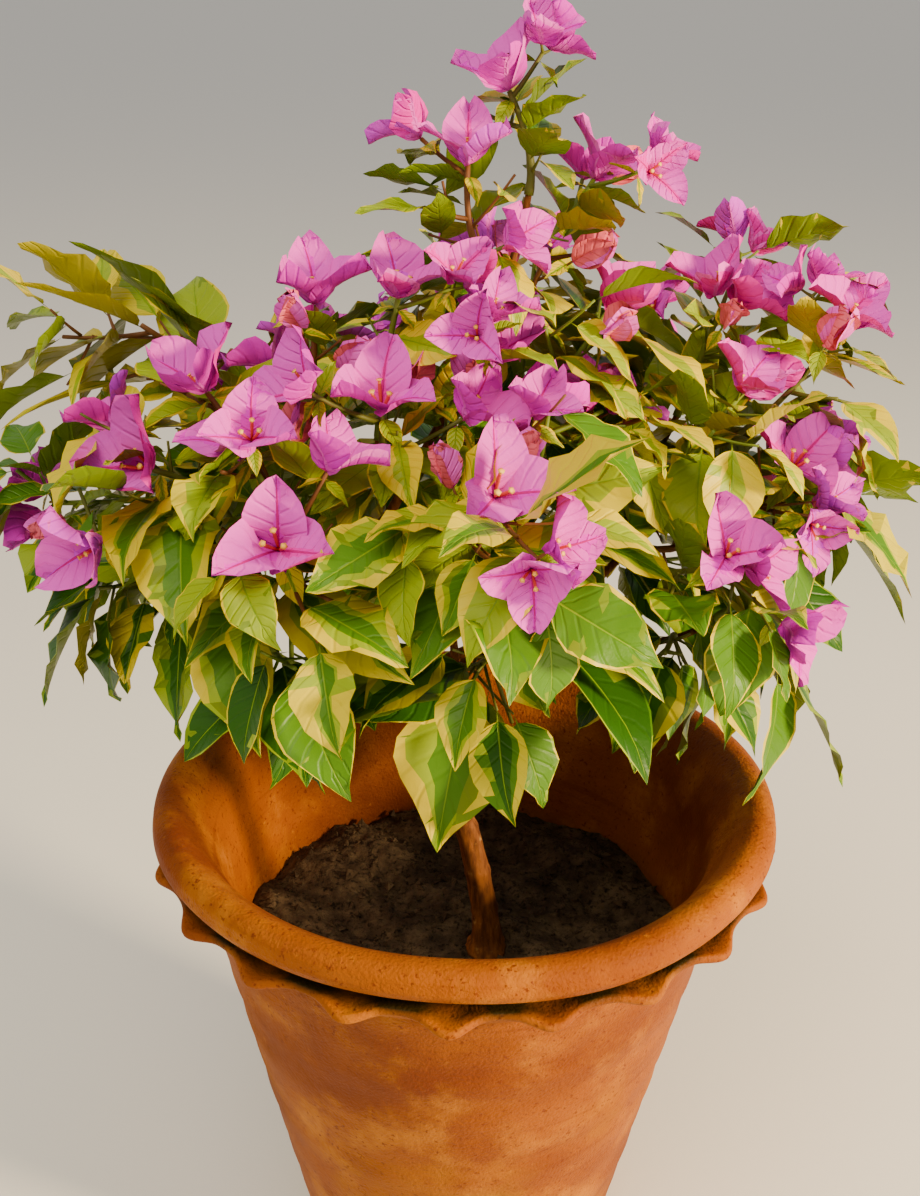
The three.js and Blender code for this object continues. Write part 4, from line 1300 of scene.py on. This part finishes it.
def leaf_surface(sprays, settings, rng):
    """The upper side of every leaf as one function of s along it and q across it.

    With g from 0 to 1 past the stalk, the half width is width / 2 times k g^a (1 - g)^b, less a
    share that grows near the tip, plus the stalk. The height is the fold, which grows with the
    distance from the midrib, less a droop with s squared, plus a wave along the margin with q
    squared. The leaf sways sideways with s squared and twists about its midrib with s.
    """
    base, along, face = gather(sprays, "leaves", "base", "along", "face")
    length, width, edge = gather(sprays, "leaves", "length", "width", "edge")
    axes = (along, np.cross(along, face), face)
    slim = each((edge > 0) | (width < 0.5 * length))
    calm = np.where(slim, 0.4, 1)
    draw = drawer(rng, len(length))
    a, b = LEAF_ROUND, draw(0.95, 1.2) + 0.3 * slim
    peak = a / (a + b)
    scale = 1 / (peak**a * (1 - peak) ** b)
    fold = draw(0.14, 0.5) * settings.leaf_fold
    droop = draw(0.5, 1.9) * LEAF["droop"]
    hook = draw(0, 0.9) * calm
    sway = draw(-0.09, 0.09)
    wave = draw(0.03, 0.1) * settings.leaf_wave
    twist = draw(-0.7, 0.7) * calm
    turns, phase = draw(1.4, 2.8), draw(0, 6.3)
    length, width = each(length), each(width)

    def surface(s, q, lift):
        g = past_stalk(s)
        narrow = 1 - 0.3 * np.clip((g - 0.6) / 0.4, 0, 1)
        half = 0.5 * width * scale * g**a * (1 - g) ** b * narrow + STALK_HALF * (1 - s)
        v = q * half
        arch = fold * np.abs(v) * (1 - 0.35 * np.abs(q))
        ripple = wave * width * q * q * np.sin(2 * math.pi * turns * g + phase + 1.7 * np.sign(q))
        bow = droop * length * s * s + hook * length * np.maximum(0, s - 0.72) ** 2 * 1.6
        height = arch + ripple * np.minimum(1, 4 * g) - bow + lift * np.minimum(1, 0.4 + g)
        side, height = spun(v, height, twist * s)
        return sheet_points(base, s * length, side + sway * length * s * s, height, axes)

    return surface


def leaf_columns(rng, green, half_rib):
    """Where the strips of each leaf part, from -1 to 1 across, at each row.

    The green centre reaches out to a share that differs for each leaf and side and swings along the
    leaf as a sine with some chance, which gives the torn edge between green and margin.
    """
    count = len(green)
    shape = (count, len(LEAF_ROWS), 2)
    swing = LEAF_ROWS[:, None] * rng.uniform(6, 16, (count, 1, 2)) + rng.uniform(0, 6.3, (count, 1, 2))
    swing = 0.15 * np.sin(swing) + 0.11 * rng.uniform(-1, 1, shape)
    rib = half_rib[..., None]
    outer = each(green) + swing * each(np.minimum(1, 2.5 * (1 - green)))
    outer = np.clip(outer, rib + 0.12, 0.95)
    inner = rib + (outer - rib) * rng.uniform(0.35, 0.8, shape)
    return strip_edges(half_rib, inner, outer)


def strip_edges(middle, inner, outer):
    """The eight strip edges of each row, with inner and outer given for the left and the right."""
    left = [-np.ones(middle.shape), -outer[..., 0], -inner[..., 0], -middle]
    return np.stack(left + [middle, inner[..., -1], outer[..., -1], np.ones(middle.shape)], axis=-1)


def leaf_tones(rng, sprays, green, young):
    """A tone for each leaf, segment and strip, and one for its lower side.

    Each spray leans to deep green, fresh green or lime, and young leaves lean to lime. The lean to lime
    higher up and at the edge of the crown is partly painted sunlight on the top, and the lean to deep
    green on hanging sprays, whose margins are then often lime, is painted shade. Margins are cream or
    yellow, with the odd segment where the green reaches the edge, and the green has paler splashes.
    Half of the palest leaves have wide margins.
    """
    count, segments = len(green), len(LEAF_ROWS) + 1
    at = numbered(LEAF_TONES)
    spray = spray_numbers(sprays, "leaves")
    sag = np.array([one.sag for one in sprays])[spray]
    base, edge = gather(sprays, "leaves", "base", "edge")
    # Part of the lean is painted light: it drops on hanging sprays as painted shade and rises high in the
    # crown and at its edge as painted sunlight
    lean = (spray * 7 % 5) / 8 + rng.uniform(-0.3, 0.3, count) - 0.3 * (sag > 0.5) + 0.4 * young
    lean = lean + 0.9 * np.clip((base[:, 2] - PALE_AND_LIT_ABOVE) / 80, 0, 1) + 0.25 * (edge > 0)
    deep = lean < 0.3
    inner = np.where(deep, at["deep"], np.where(lean < 0.85, at["green"], at["lime"]))
    middle = np.where(deep, at["green"], at["lime"])
    margin = np.where(rng.uniform(0, 1, count) < 0.3, at["cream"], at["yellow"])
    # Deep green leaves, partly painted shade, often get duller lime margins
    margin = np.where(deep & (rng.uniform(0, 1, count) < 0.5), at["lime"], margin)
    plain = green > 0.8
    tones = np.zeros((count, segments, STRIPS), int)

    def deal(strips, chosen, tone):
        """Gives the tone to the strips of the chosen leaves or segments."""
        tones[:, :, strips] = np.where(chosen, tone, tones[:, :, strips])

    deal(INNERS, True, each(inner))
    deal(MIDDLES, True, each(np.where(plain, inner, middle)))
    deal(MARGINS, True, each(margin))
    tones[:, :, MIDRIB] = at["rib"]
    chance = rng.uniform(0, 1, (count, segments, 2))
    splash = np.where(rng.uniform(0, 1, (count, 1, 1)) < 0.5, at["olive"], at["lime"])
    deal(MIDDLES, chance < each(np.where(plain, 0.04, 0.16)), splash)
    deal(MARGINS, rng.uniform(0, 1, (count, segments, 2)) < 0.05, each(middle))
    wide = (lean > 1.0) & ~plain & (rng.uniform(0, 1, count) < 0.5)
    deal(MIDDLES, each(wide), each(margin))
    tones[:, 0] = at["lime"]
    return tones, np.where((green < 0.45) | wide, at["under_yellow"], at["under"])


def make_leaves(settings):
    """All leaves as closed blades in one mesh, with the tones as materials."""
    sprays = plant()[1]
    rng = np.random.default_rng(21)
    surface = leaf_surface(sprays, settings, rng)
    base, length, width, edge = gather(sprays, "leaves", "base", "length", "width", "edge")

    def draw(low, high):
        return rng.uniform(low, high, len(length))

    # The share of each half that is green: most where a leaf is big, least at the top, where the wider pale
    # margins are partly painted sunlight
    share = draw(0, 1)
    big = np.clip((length - 55) / 30, 0, 1)
    high = np.clip((base[:, 2] - PALE_AND_LIT_ABOVE) / 60, 0, 1)
    green = np.where(share < 0.36 + 0.3 * big, draw(0.9, 0.95), 0)
    green = np.where(green > 0, green, draw(0.55, 0.86) - 0.12 * high)
    green = np.where((share > 0.9) & ~(big > 0.6), draw(0.2, 0.4), green)
    green = np.where(edge > 0, draw(0.5, 0.85), green)
    # The midrib's share of a mean outline, thinner towards the tip
    g = past_stalk(LEAF_ROWS)
    half = 0.5 * width[:, None] * 3.0 * g**LEAF_ROUND * (1 - g) ** 1.1 + STALK_HALF
    half_rib = np.clip((0.24 + 0.004 * length[:, None]) * (1 - 0.7 * LEAF_ROWS) / half, 0.01, 0.3)
    columns = leaf_columns(rng, green, half_rib)
    tones, under = leaf_tones(rng, sprays, green, length < 34)
    materials = toned_finishes("leaf_", LEAF_TONES, settings, 0.4, 0.2, 0.03, 0.4, (7, 0.0003))
    thickness = settings.leaf_thickness / MM
    return blades("leaves", surface, LEAF_ROWS, columns, thickness, tones, under, materials)


# Blossoms

BRACT_ROWS = np.array((0.05, 0.15, 0.28, 0.42, 0.56, 0.7, 0.83, 0.94))
BRACT_TONES = ("orchid", "pink", "pale", "mauve", "salmon", "vein", "back")


def bract_surface(sprays, settings, rng):
    """The inner side of every bract as one function of s along it and q across it, and its youth.

    A bract leaves the blossom's axis at an angle that grows evenly with s, so its middle line is a
    circle's arc. Its half width is k s^0.75 (1 - s)^0.95. The sides are raised by the cup with q
    squared, the margin is rippled with q squared and the pointed tip sways sideways with s cubed.
    """
    base, axis, turn = gather(sprays, "heads", "base", "axis", "turn")
    scale, young = gather(sprays, "heads", "scale", "young")
    side = np.array([square_to(one) for one in axis])
    other = np.cross(axis, side)
    angle = turn[:, None] + circle(3) + rng.uniform(-0.2, 0.2, (len(turn), 3))
    radial = side[:, None] * np.cos(angle)[..., None] + other[:, None] * np.sin(angle)[..., None]
    radial = radial.reshape(-1, 3)
    base, axis, scale, young = (np.repeat(values, 3, axis=0) for values in (base, axis, scale, young > 0))
    axes = (radial, axis, np.cross(axis, radial))
    draw, closed = drawer(rng, len(scale)), each(young)
    length = each(BRACT["length"] * scale) * draw(1.02, 1.16)
    width = each(BRACT["width"] * scale) * draw(0.98, 1.16) * np.where(closed, 0.8, 1)
    first = np.where(closed, 0.1, draw(0.45, 0.7))
    last = np.where(closed, draw(0.12, 0.4), draw(1.05, 1.55))
    cup = np.where(closed, 0.5, draw(0.1, 0.4)) * settings.bract_cup
    wave = draw(0.05, 0.11) * settings.bract_wave
    turns, phase, sway = draw(1.0, 2.0), draw(0, 6.3), draw(-0.12, 0.12)
    a, b = 0.75, 0.95
    peak = a / (a + b)
    k = 1 / (peak**a * (1 - peak) ** b)

    def surface(s, q, lift):
        theta = first + (last - first) * s
        bend = last - first
        out = length * (np.cos(first) - np.cos(theta)) / bend
        up = length * (np.sin(theta) - np.sin(first)) / bend
        half = 0.5 * width * k * np.clip(s, 0, 1) ** a * np.clip(1 - s, 0, 1) ** b + 0.4 * (1 - s)
        ripple = wave * width * np.sin(2 * math.pi * turns * s + phase + 2.1 * np.sign(q)) * q * q
        rise = cup * width * q * q * np.minimum(1, 2.2 * s) + ripple + lift
        out, up = out - np.cos(theta) * rise, up + np.sin(theta) * rise
        return sheet_points(base, out, up, q * half + sway * length * s**3, axes)

    return surface, young


def make_bracts(settings):
    """All bracts as closed blades in one mesh, their pinks dealt out by spray."""
    sprays = plant()[1]
    rng = np.random.default_rng(33)
    surface, young = bract_surface(sprays, settings, rng)
    count, rows = len(young), len(BRACT_ROWS)
    at = numbered(BRACT_TONES)
    pick = (spray_numbers(sprays, "heads", 3) * 5 % 7) / 7 + rng.uniform(-0.18, 0.18, count)
    tone = np.where(pick < 0.42, at["orchid"], np.where(pick < 0.72, at["pink"], at["mauve"]))
    tone = np.where(young, np.where(rng.uniform(0, 1, count) < 0.65, at["salmon"], at["pale"]), tone)
    edge = np.where(rng.uniform(0, 1, count) < 0.2, at["pale"], tone)
    tones = np.tile(each(tone), (rows + 1, STRIPS))
    tones[:, :, MARGINS] = each(edge)
    tones[:, :, MIDRIB] = tones[:, 0] = at["vein"]
    inner = 0.42 + rng.uniform(-0.08, 0.08, (count, rows, 1))
    outer = 0.78 + rng.uniform(-0.1, 0.1, (count, rows, 1))
    columns = strip_edges(np.tile(0.06 * (1 - 0.6 * BRACT_ROWS), (count, 1)), inner, outer)
    materials = toned_finishes("bract_", BRACT_TONES, settings, 0.7, 0.12, 0.0, 0.7, (6, 0.00042))
    under = np.where(young, at["salmon"], at["back"])
    thickness = settings.bract_thickness / MM
    return blades("bracts", surface, BRACT_ROWS, columns, thickness, tones, under, materials)


def make_flowers(settings):
    """The small tubular flowers, three in each open blossom, flared into a pale star at the mouth."""
    rng = np.random.default_rng(8)
    lines, radii = [], []
    shape = vector(0.7, 0.95, 1.15, 0.95, 0.9, 2.0)
    for head in (head for spray in plant()[1] for head in spray.heads if not head["young"]):
        axis, scale = head["axis"], head["scale"]
        foot = head["base"] + axis * 0.5
        for k in range(3):
            angle = head["turn"] + 2 * math.pi * k / 3 + rng.uniform(-0.3, 0.3)
            radial = turned(square_to(axis), axis, angle)
            length = scale * rng.uniform(13, 19)
            bend = foot + (axis * 0.6 + radial * 0.28) * length
            tip = foot + (axis * 0.9 + radial * 0.34) * length
            lines.append(curve_points((foot, bend, tip), (0, 0.3, 0.6, 0.82, 0.95, 1)))
            radii.append(shape * scale)
    sides = SIDES["flower"]
    points, faces = tubes(np.array(lines), np.array(radii), sides)
    walls, ends = (np.tile(np.repeat(tones, sides), len(lines)) for tones in ((0, 0, 0, 1, 1), (0, 1)))
    materials = toned_finishes("flower_", ("tube", "mouth"), settings)
    return add_piece("flowers", points, faces, materials, np.concatenate([walls, ends]))


# The plant is grown once and shared by the operators
GROWN = {}


def plant():
    if not GROWN:
        GROWN["plant"] = grow_plant()
    return GROWN["plant"]


# Settings


def tint(name, description, red, green, blue):
    return bpy.props.FloatVectorProperty(
        name=name,
        description=description,
        subtype="COLOR",
        size=4,
        min=0.0,
        max=1.0,
        default=rgb(red, green, blue),
    )


def amount(name, description, default, least=0.0, **kind):
    return bpy.props.FloatProperty(name=name, description=description, default=default, min=least, **kind)


def factor(name, description, default=1.0):
    return amount(name, description, default, soft_max=2.0, subtype="FACTOR")


class PotSettings(bpy.types.PropertyGroup):
    """Colours and crumbs of the pot and its soil."""

    clay: tint("Clay", "Main colour of the fired clay", 148, 80, 0)
    clay_dark: tint("Dark clay", "Redder, darker patches", 106, 48, 2)
    clay_light: tint("Light clay", "Sunburnt patches", 180, 110, 10)
    clay_bloom: tint("Bloom", "Pale salts low on the wall", 174, 124, 24)
    # Dark moss colour, which also paints the shade in the joint under the rim
    moss: tint("Moss", "Growth in the joint under the rim", 44, 34, 6)
    soil: tint("Soil", "Main colour of the soil", 62, 49, 38)
    soil_light: tint("Dry soil", "Drier crumbs", 102, 84, 64)
    soil_dark: tint("Damp soil", "Damp hollows", 38, 30, 23)
    crumbs: bpy.props.IntProperty(
        name="Crumbs", description="Loose crumbs that lie on the soil", default=700, min=0, max=4000
    )


class PlantSettings(bpy.types.PropertyGroup):
    """Colours of the plant and the forms of its leaves and bracts."""

    bark: tint("Bark", "Main colour of the young bark", 128, 76, 32)
    bark_dark: tint("Dark bark", "Dark streaks of the bark", 76, 42, 20)
    bark_light: tint("Light bark", "Grey flecks of the bark", 158, 116, 66)
    twig_olive: tint("Olive twig", "Green twigs", 92, 96, 30)
    twig_brown: tint("Brown twig", "Riper twigs", 116, 72, 34)
    twig_green: tint("Green twig", "Young twigs", 104, 122, 34)
    # Deep green also serves as painted shade on hanging sprays, and lime as painted sunlight high in the
    # crown
    leaf_deep: tint("Deep green", "Old leaf green", 42, 82, 0)
    leaf_green: tint("Green", "Leaf green", 72, 114, 0)
    leaf_lime: tint("Lime", "Fresh leaf green", 136, 158, 0)
    leaf_olive: tint("Olive", "Greyed green splashes", 106, 124, 2)
    leaf_cream: tint("Cream", "Pale margins", 200, 184, 6)
    leaf_yellow: tint("Yellow", "Yellow margins", 204, 184, 0)
    leaf_rib: tint("Midrib", "Pale midrib", 112, 142, 6)
    leaf_under: tint("Underside", "Lower side of green leaves", 106, 130, 2)
    leaf_under_yellow: tint("Pale underside", "Lower side of pale leaves", 160, 152, 2)
    leaf_thickness: amount("Leaf thickness", "Thickness at the midrib", 0.0008, unit="LENGTH")
    leaf_fold: factor("Leaf fold", "How far the halves fold up")
    leaf_wave: factor("Leaf wave", "How far the margin waves")
    bract_orchid: tint("Orchid", "Orchid bracts", 216, 50, 204)
    bract_pink: tint("Pink", "Hot pink bracts", 228, 42, 184)
    bract_pale: tint("Pale pink", "Paler margins and bracts", 234, 98, 216)
    bract_mauve: tint("Mauve", "Mauve bracts", 206, 74, 222)
    bract_salmon: tint("Salmon", "Young bracts", 228, 100, 124)
    bract_vein: tint("Vein", "Middle vein of the bracts", 186, 16, 128)
    bract_back: tint("Back", "Outer side of the bracts", 224, 84, 206)
    bract_thickness: amount("Bract thickness", "Thickness at the middle", 0.0005, unit="LENGTH")
    bract_cup: factor("Bract cup", "How far the bracts cup")
    bract_wave: factor("Bract wave", "How far the margin ripples")
    flower_tube: tint("Flower tube", "Tubes of the small flowers", 200, 76, 60)
    flower_mouth: tint("Flower mouth", "Flared mouths of the flowers", 244, 196, 70)


class StageSettings(bpy.types.PropertyGroup):
    """Floor, lights and camera."""

    floor: tint("Floor", "Plain pale floor", 232, 228, 220)
    key_colour: tint("Key light", "Warm low light from the right", 255, 224, 172)
    fill_colour: tint("Fill light", "Soft light from high up in front", 255, 238, 202)
    key_power: amount("Key power", "Power of the key light", 175.0, unit="POWER")
    fill_power: amount("Fill power", "Power of the fill light", 82.0, unit="POWER")
    sky: factor("Sky", "Strength of the even light from all round", 0.56)
    lens: amount("Lens", "Focal length of the camera in millimetres", 42.44, 1.0)
    camera_at: bpy.props.FloatVectorProperty(
        name="Camera", description="Place of the camera", default=(-0.0051, -0.6917, 0.749), unit="LENGTH"
    )
    camera_pitch: amount("Pitch", "How far the camera looks down", 0.41923, -1.6, unit="ROTATION")
    camera_roll: amount("Roll", "How far the camera leans", 0.01623, -1.6, unit="ROTATION")


# Operators


class BOUGAINVILLEA_OT_pot(bpy.types.Operator):
    """Builds the pot: turned wall with its rolled rim, crimped band and floor with drain holes."""

    bl_idname = "bougainvillea.pot"
    bl_label = "Pot"

    def execute(self, context):
        clay = terracotta(context.scene.bougainvillea_pot)
        for name, make in (("pot_wall", make_wall), ("pot_band", make_band), ("pot_floor", make_floor)):
            points, faces = make()
            piece = add_piece(name, points, [faces], [clay], smooth=name != "pot_floor")
            stand_for(piece, ["pot"])
            if name != "pot_floor":
                # The joint under the rim gets moss and painted shade
                mark(piece, "moss", moss_and_shade_share(points))
        return {"FINISHED"}


class BOUGAINVILLEA_OT_soil(bpy.types.Operator):
    """Builds the soil with its clods and the crumbs that lie on it."""

    bl_idname = "bougainvillea.soil"
    bl_label = "Soil"

    def execute(self, context):
        settings = context.scene.bougainvillea_pot
        ground = soil_finish(settings)
        body = add_piece("soil_body", *make_soil_body(), [ground])
        crumbs = add_piece("soil_crumbs", *make_crumbs(settings.crumbs), [ground], smooth=False)
        for piece in (body, crumbs):
            stand_for(piece, ["soil"])
        return {"FINISHED"}


class BOUGAINVILLEA_OT_limbs(bpy.types.Operator):
    """Builds the trunk and the boughs with the relief of their bark."""

    bl_idname = "bougainvillea.limbs"
    bl_label = "Trunk and boughs"

    def execute(self, context):
        limbs = plant()[0]
        bark = bark_finish(context.scene.bougainvillea_plant)
        place = np.linspace(0, 1, RINGS["trunk"])
        path, radii = curve_points(TRUNK_PATH, place), trunk_radius(place)
        points, faces = tubes(path[None], radii[None], SIDES["trunk"], bark_relief(1.3))
        stand_for(add_piece("trunk_bark", points, faces, [bark]), ["trunk"])
        rings, made = RINGS["bough"], []
        place = np.clip(np.linspace(-1 / rings, 1, rings + 1), 0, 1)
        for number, limb in enumerate(limbs[row[0]] for row in BOUGHS):
            path, radii = rooted(limb.controls, rings, limb.axis, DEPTH["bough"]), limb.radius(place)
            made.append(tubes(path[None], radii[None], SIDES["bough"], bark_relief(2.1 + number)))
        points = np.array([points for points, _ in made])
        faces = [repeated(block, len(made), points.shape[1]) for block in made[0][1]]
        stand_for(add_piece("boughs_bark", points, faces, [bark]), BOUGH_NODES)
        return {"FINISHED"}


class BOUGAINVILLEA_OT_twigs(bpy.types.Operator):
    """Builds the stems of the sprays, their twigs and their twiglets."""

    bl_idname = "bougainvillea.twigs"
    bl_label = "Twigs"

    def execute(self, context):
        settings = context.scene.bougainvillea_plant
        materials = toned_finishes("twig_", TWIG_TONES, settings, 0.6)
        for kind, lines in twig_lines(plant()[1]).items():
            centres, radii, tones = (np.array(part) for part in zip(*lines))
            sides = SIDES[kind]
            points, faces = tubes(centres, radii, sides, node_swelling)
            walls = np.repeat(tones, sides * (centres.shape[1] - 1))
            dealt = np.concatenate([walls, np.repeat(tones, 2 * sides)])
            piece = add_piece(kind + "s", points, faces, materials, dealt)
            stand_for(piece, SPRAY_NODES)
        return {"FINISHED"}


class BOUGAINVILLEA_OT_leaves(bpy.types.Operator):
    """Builds the variegated leaves."""

    bl_idname = "bougainvillea.leaves"
    bl_label = "Leaves"

    def execute(self, context):
        stand_for(make_leaves(context.scene.bougainvillea_plant), SPRAY_NODES)
        return {"FINISHED"}


class BOUGAINVILLEA_OT_blossoms(bpy.types.Operator):
    """Builds the papery bracts and the small flowers between them."""

    bl_idname = "bougainvillea.blossoms"
    bl_label = "Blossoms"

    def execute(self, context):
        settings = context.scene.bougainvillea_plant
        for make in (make_bracts, make_flowers):
            stand_for(make(settings), BLOSSOM_NODES)
        return {"FINISHED"}


def placed(name, data, at, axes):
    """An object at a place with the given side, up and backward directions."""
    thing = bpy.data.objects.new(name, data)
    thing.matrix_world = Matrix.Translation(at) @ Matrix(np.stack(axes, axis=1).tolist()).to_4x4()
    bpy.context.scene.collection.objects.link(thing)
    return thing


CROWN_FOOT = vector(0.0, 0.0, 0.42)
FLOOR_HALF = 150.0


def add_light(name, at, size, power, colour):
    """A square area light turned to the foot of the crown."""
    data = bpy.data.lights.new(name, "AREA")
    data.size = size
    data.energy = power
    data.color = tuple(colour)[:3]
    backward = unit(vector(*at) - CROWN_FOOT)
    side = unit(np.cross(UP, backward))
    return placed(name, data, at, (side, np.cross(backward, side), backward))


class BOUGAINVILLEA_OT_stage(bpy.types.Operator):
    """Lays the floor, hangs the lights and sets the camera."""

    bl_idname = "bougainvillea.stage"
    bl_label = "Stage"

    def execute(self, context):
        scene = context.scene
        settings = scene.bougainvillea_stage
        mesh = bpy.data.meshes.new("floor")
        square = FLOOR_HALF * np.array([(-1, -1, 0), (1, -1, 0), (1, 1, 0), (-1, 1, 0)])
        mesh.from_pydata(square.tolist(), [], [(0, 1, 2, 3)])
        mesh.materials.append(plain_finish("floor", settings.floor, 0.9, 0.2))
        floor = bpy.data.objects.new("floor", mesh)
        scene.collection.objects.link(floor)
        key = add_light("key", (2.15, -1.1, 1.15), 0.4, settings.key_power, settings.key_colour)
        fill = add_light("fill", (-0.9, -1.5, 3.0), 2.0, settings.fill_power, settings.fill_colour)
        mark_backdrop(floor, key, fill)
        scene.world = bpy.data.worlds.new("sky")
        scene.world.use_nodes = True
        sky = {"Color": (1.0, 0.98, 0.95, 1.0), "Strength": settings.sky}
        feed(scene.world.node_tree, scene.world.node_tree.nodes["Background"], sky)
        lens = bpy.data.cameras.new("camera")
        lens.lens, lens.clip_start, lens.clip_end = settings.lens, 0.05, 400
        pitch, roll = settings.camera_pitch, settings.camera_roll
        forward = vector(0.001, math.cos(pitch), -math.sin(pitch))
        right = unit(np.cross(forward, UP))
        up = np.cross(right, unit(forward))
        leaning = math.cos(roll) * right + math.sin(roll) * up
        upright = math.cos(roll) * up - math.sin(roll) * right
        scene.camera = placed("camera", lens, settings.camera_at, (leaning, upright, -unit(forward)))
        return {"FINISHED"}


STEPS = ("pot", "soil", "limbs", "twigs", "leaves", "blossoms", "stage")


class BOUGAINVILLEA_PT_panel(bpy.types.Panel):
    """Lists the operators and the settings."""

    bl_idname = "BOUGAINVILLEA_PT_panel"
    bl_label = "Potted bougainvillea"
    bl_space_type = "VIEW_3D"
    bl_region_type = "UI"
    bl_category = "Bougainvillea"

    def draw(self, context):
        for step in STEPS:
            self.layout.operator("bougainvillea." + step)
        for key in SETTINGS:
            group = getattr(context.scene, key)
            for name in group.bl_rna.properties.keys():
                if name not in ("name", "rna_type"):
                    self.layout.prop(group, name)


SETTINGS = {
    "bougainvillea_pot": PotSettings,
    "bougainvillea_plant": PlantSettings,
    "bougainvillea_stage": StageSettings,
}
CLASSES = (
    *SETTINGS.values(),
    BOUGAINVILLEA_OT_pot,
    BOUGAINVILLEA_OT_soil,
    BOUGAINVILLEA_OT_limbs,
    BOUGAINVILLEA_OT_twigs,
    BOUGAINVILLEA_OT_leaves,
    BOUGAINVILLEA_OT_blossoms,
    BOUGAINVILLEA_OT_stage,
    BOUGAINVILLEA_PT_panel,
)


def register():
    for one in CLASSES:
        bpy.utils.register_class(one)
    for name, group in SETTINGS.items():
        setattr(bpy.types.Scene, name, bpy.props.PointerProperty(type=group))


def unregister():
    for name in SETTINGS:
        delattr(bpy.types.Scene, name)
    for one in reversed(CLASSES):
        bpy.utils.unregister_class(one)


def corners(box):
    return [[float(value) for value in corner] for corner in box]


def main():
    register()
    for step in STEPS:
        getattr(bpy.ops.bougainvillea, step)()
    sizes = {"cad": corners(CAD_BOX), "visual": corners(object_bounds())}


if __name__ == "__main__":
    main()
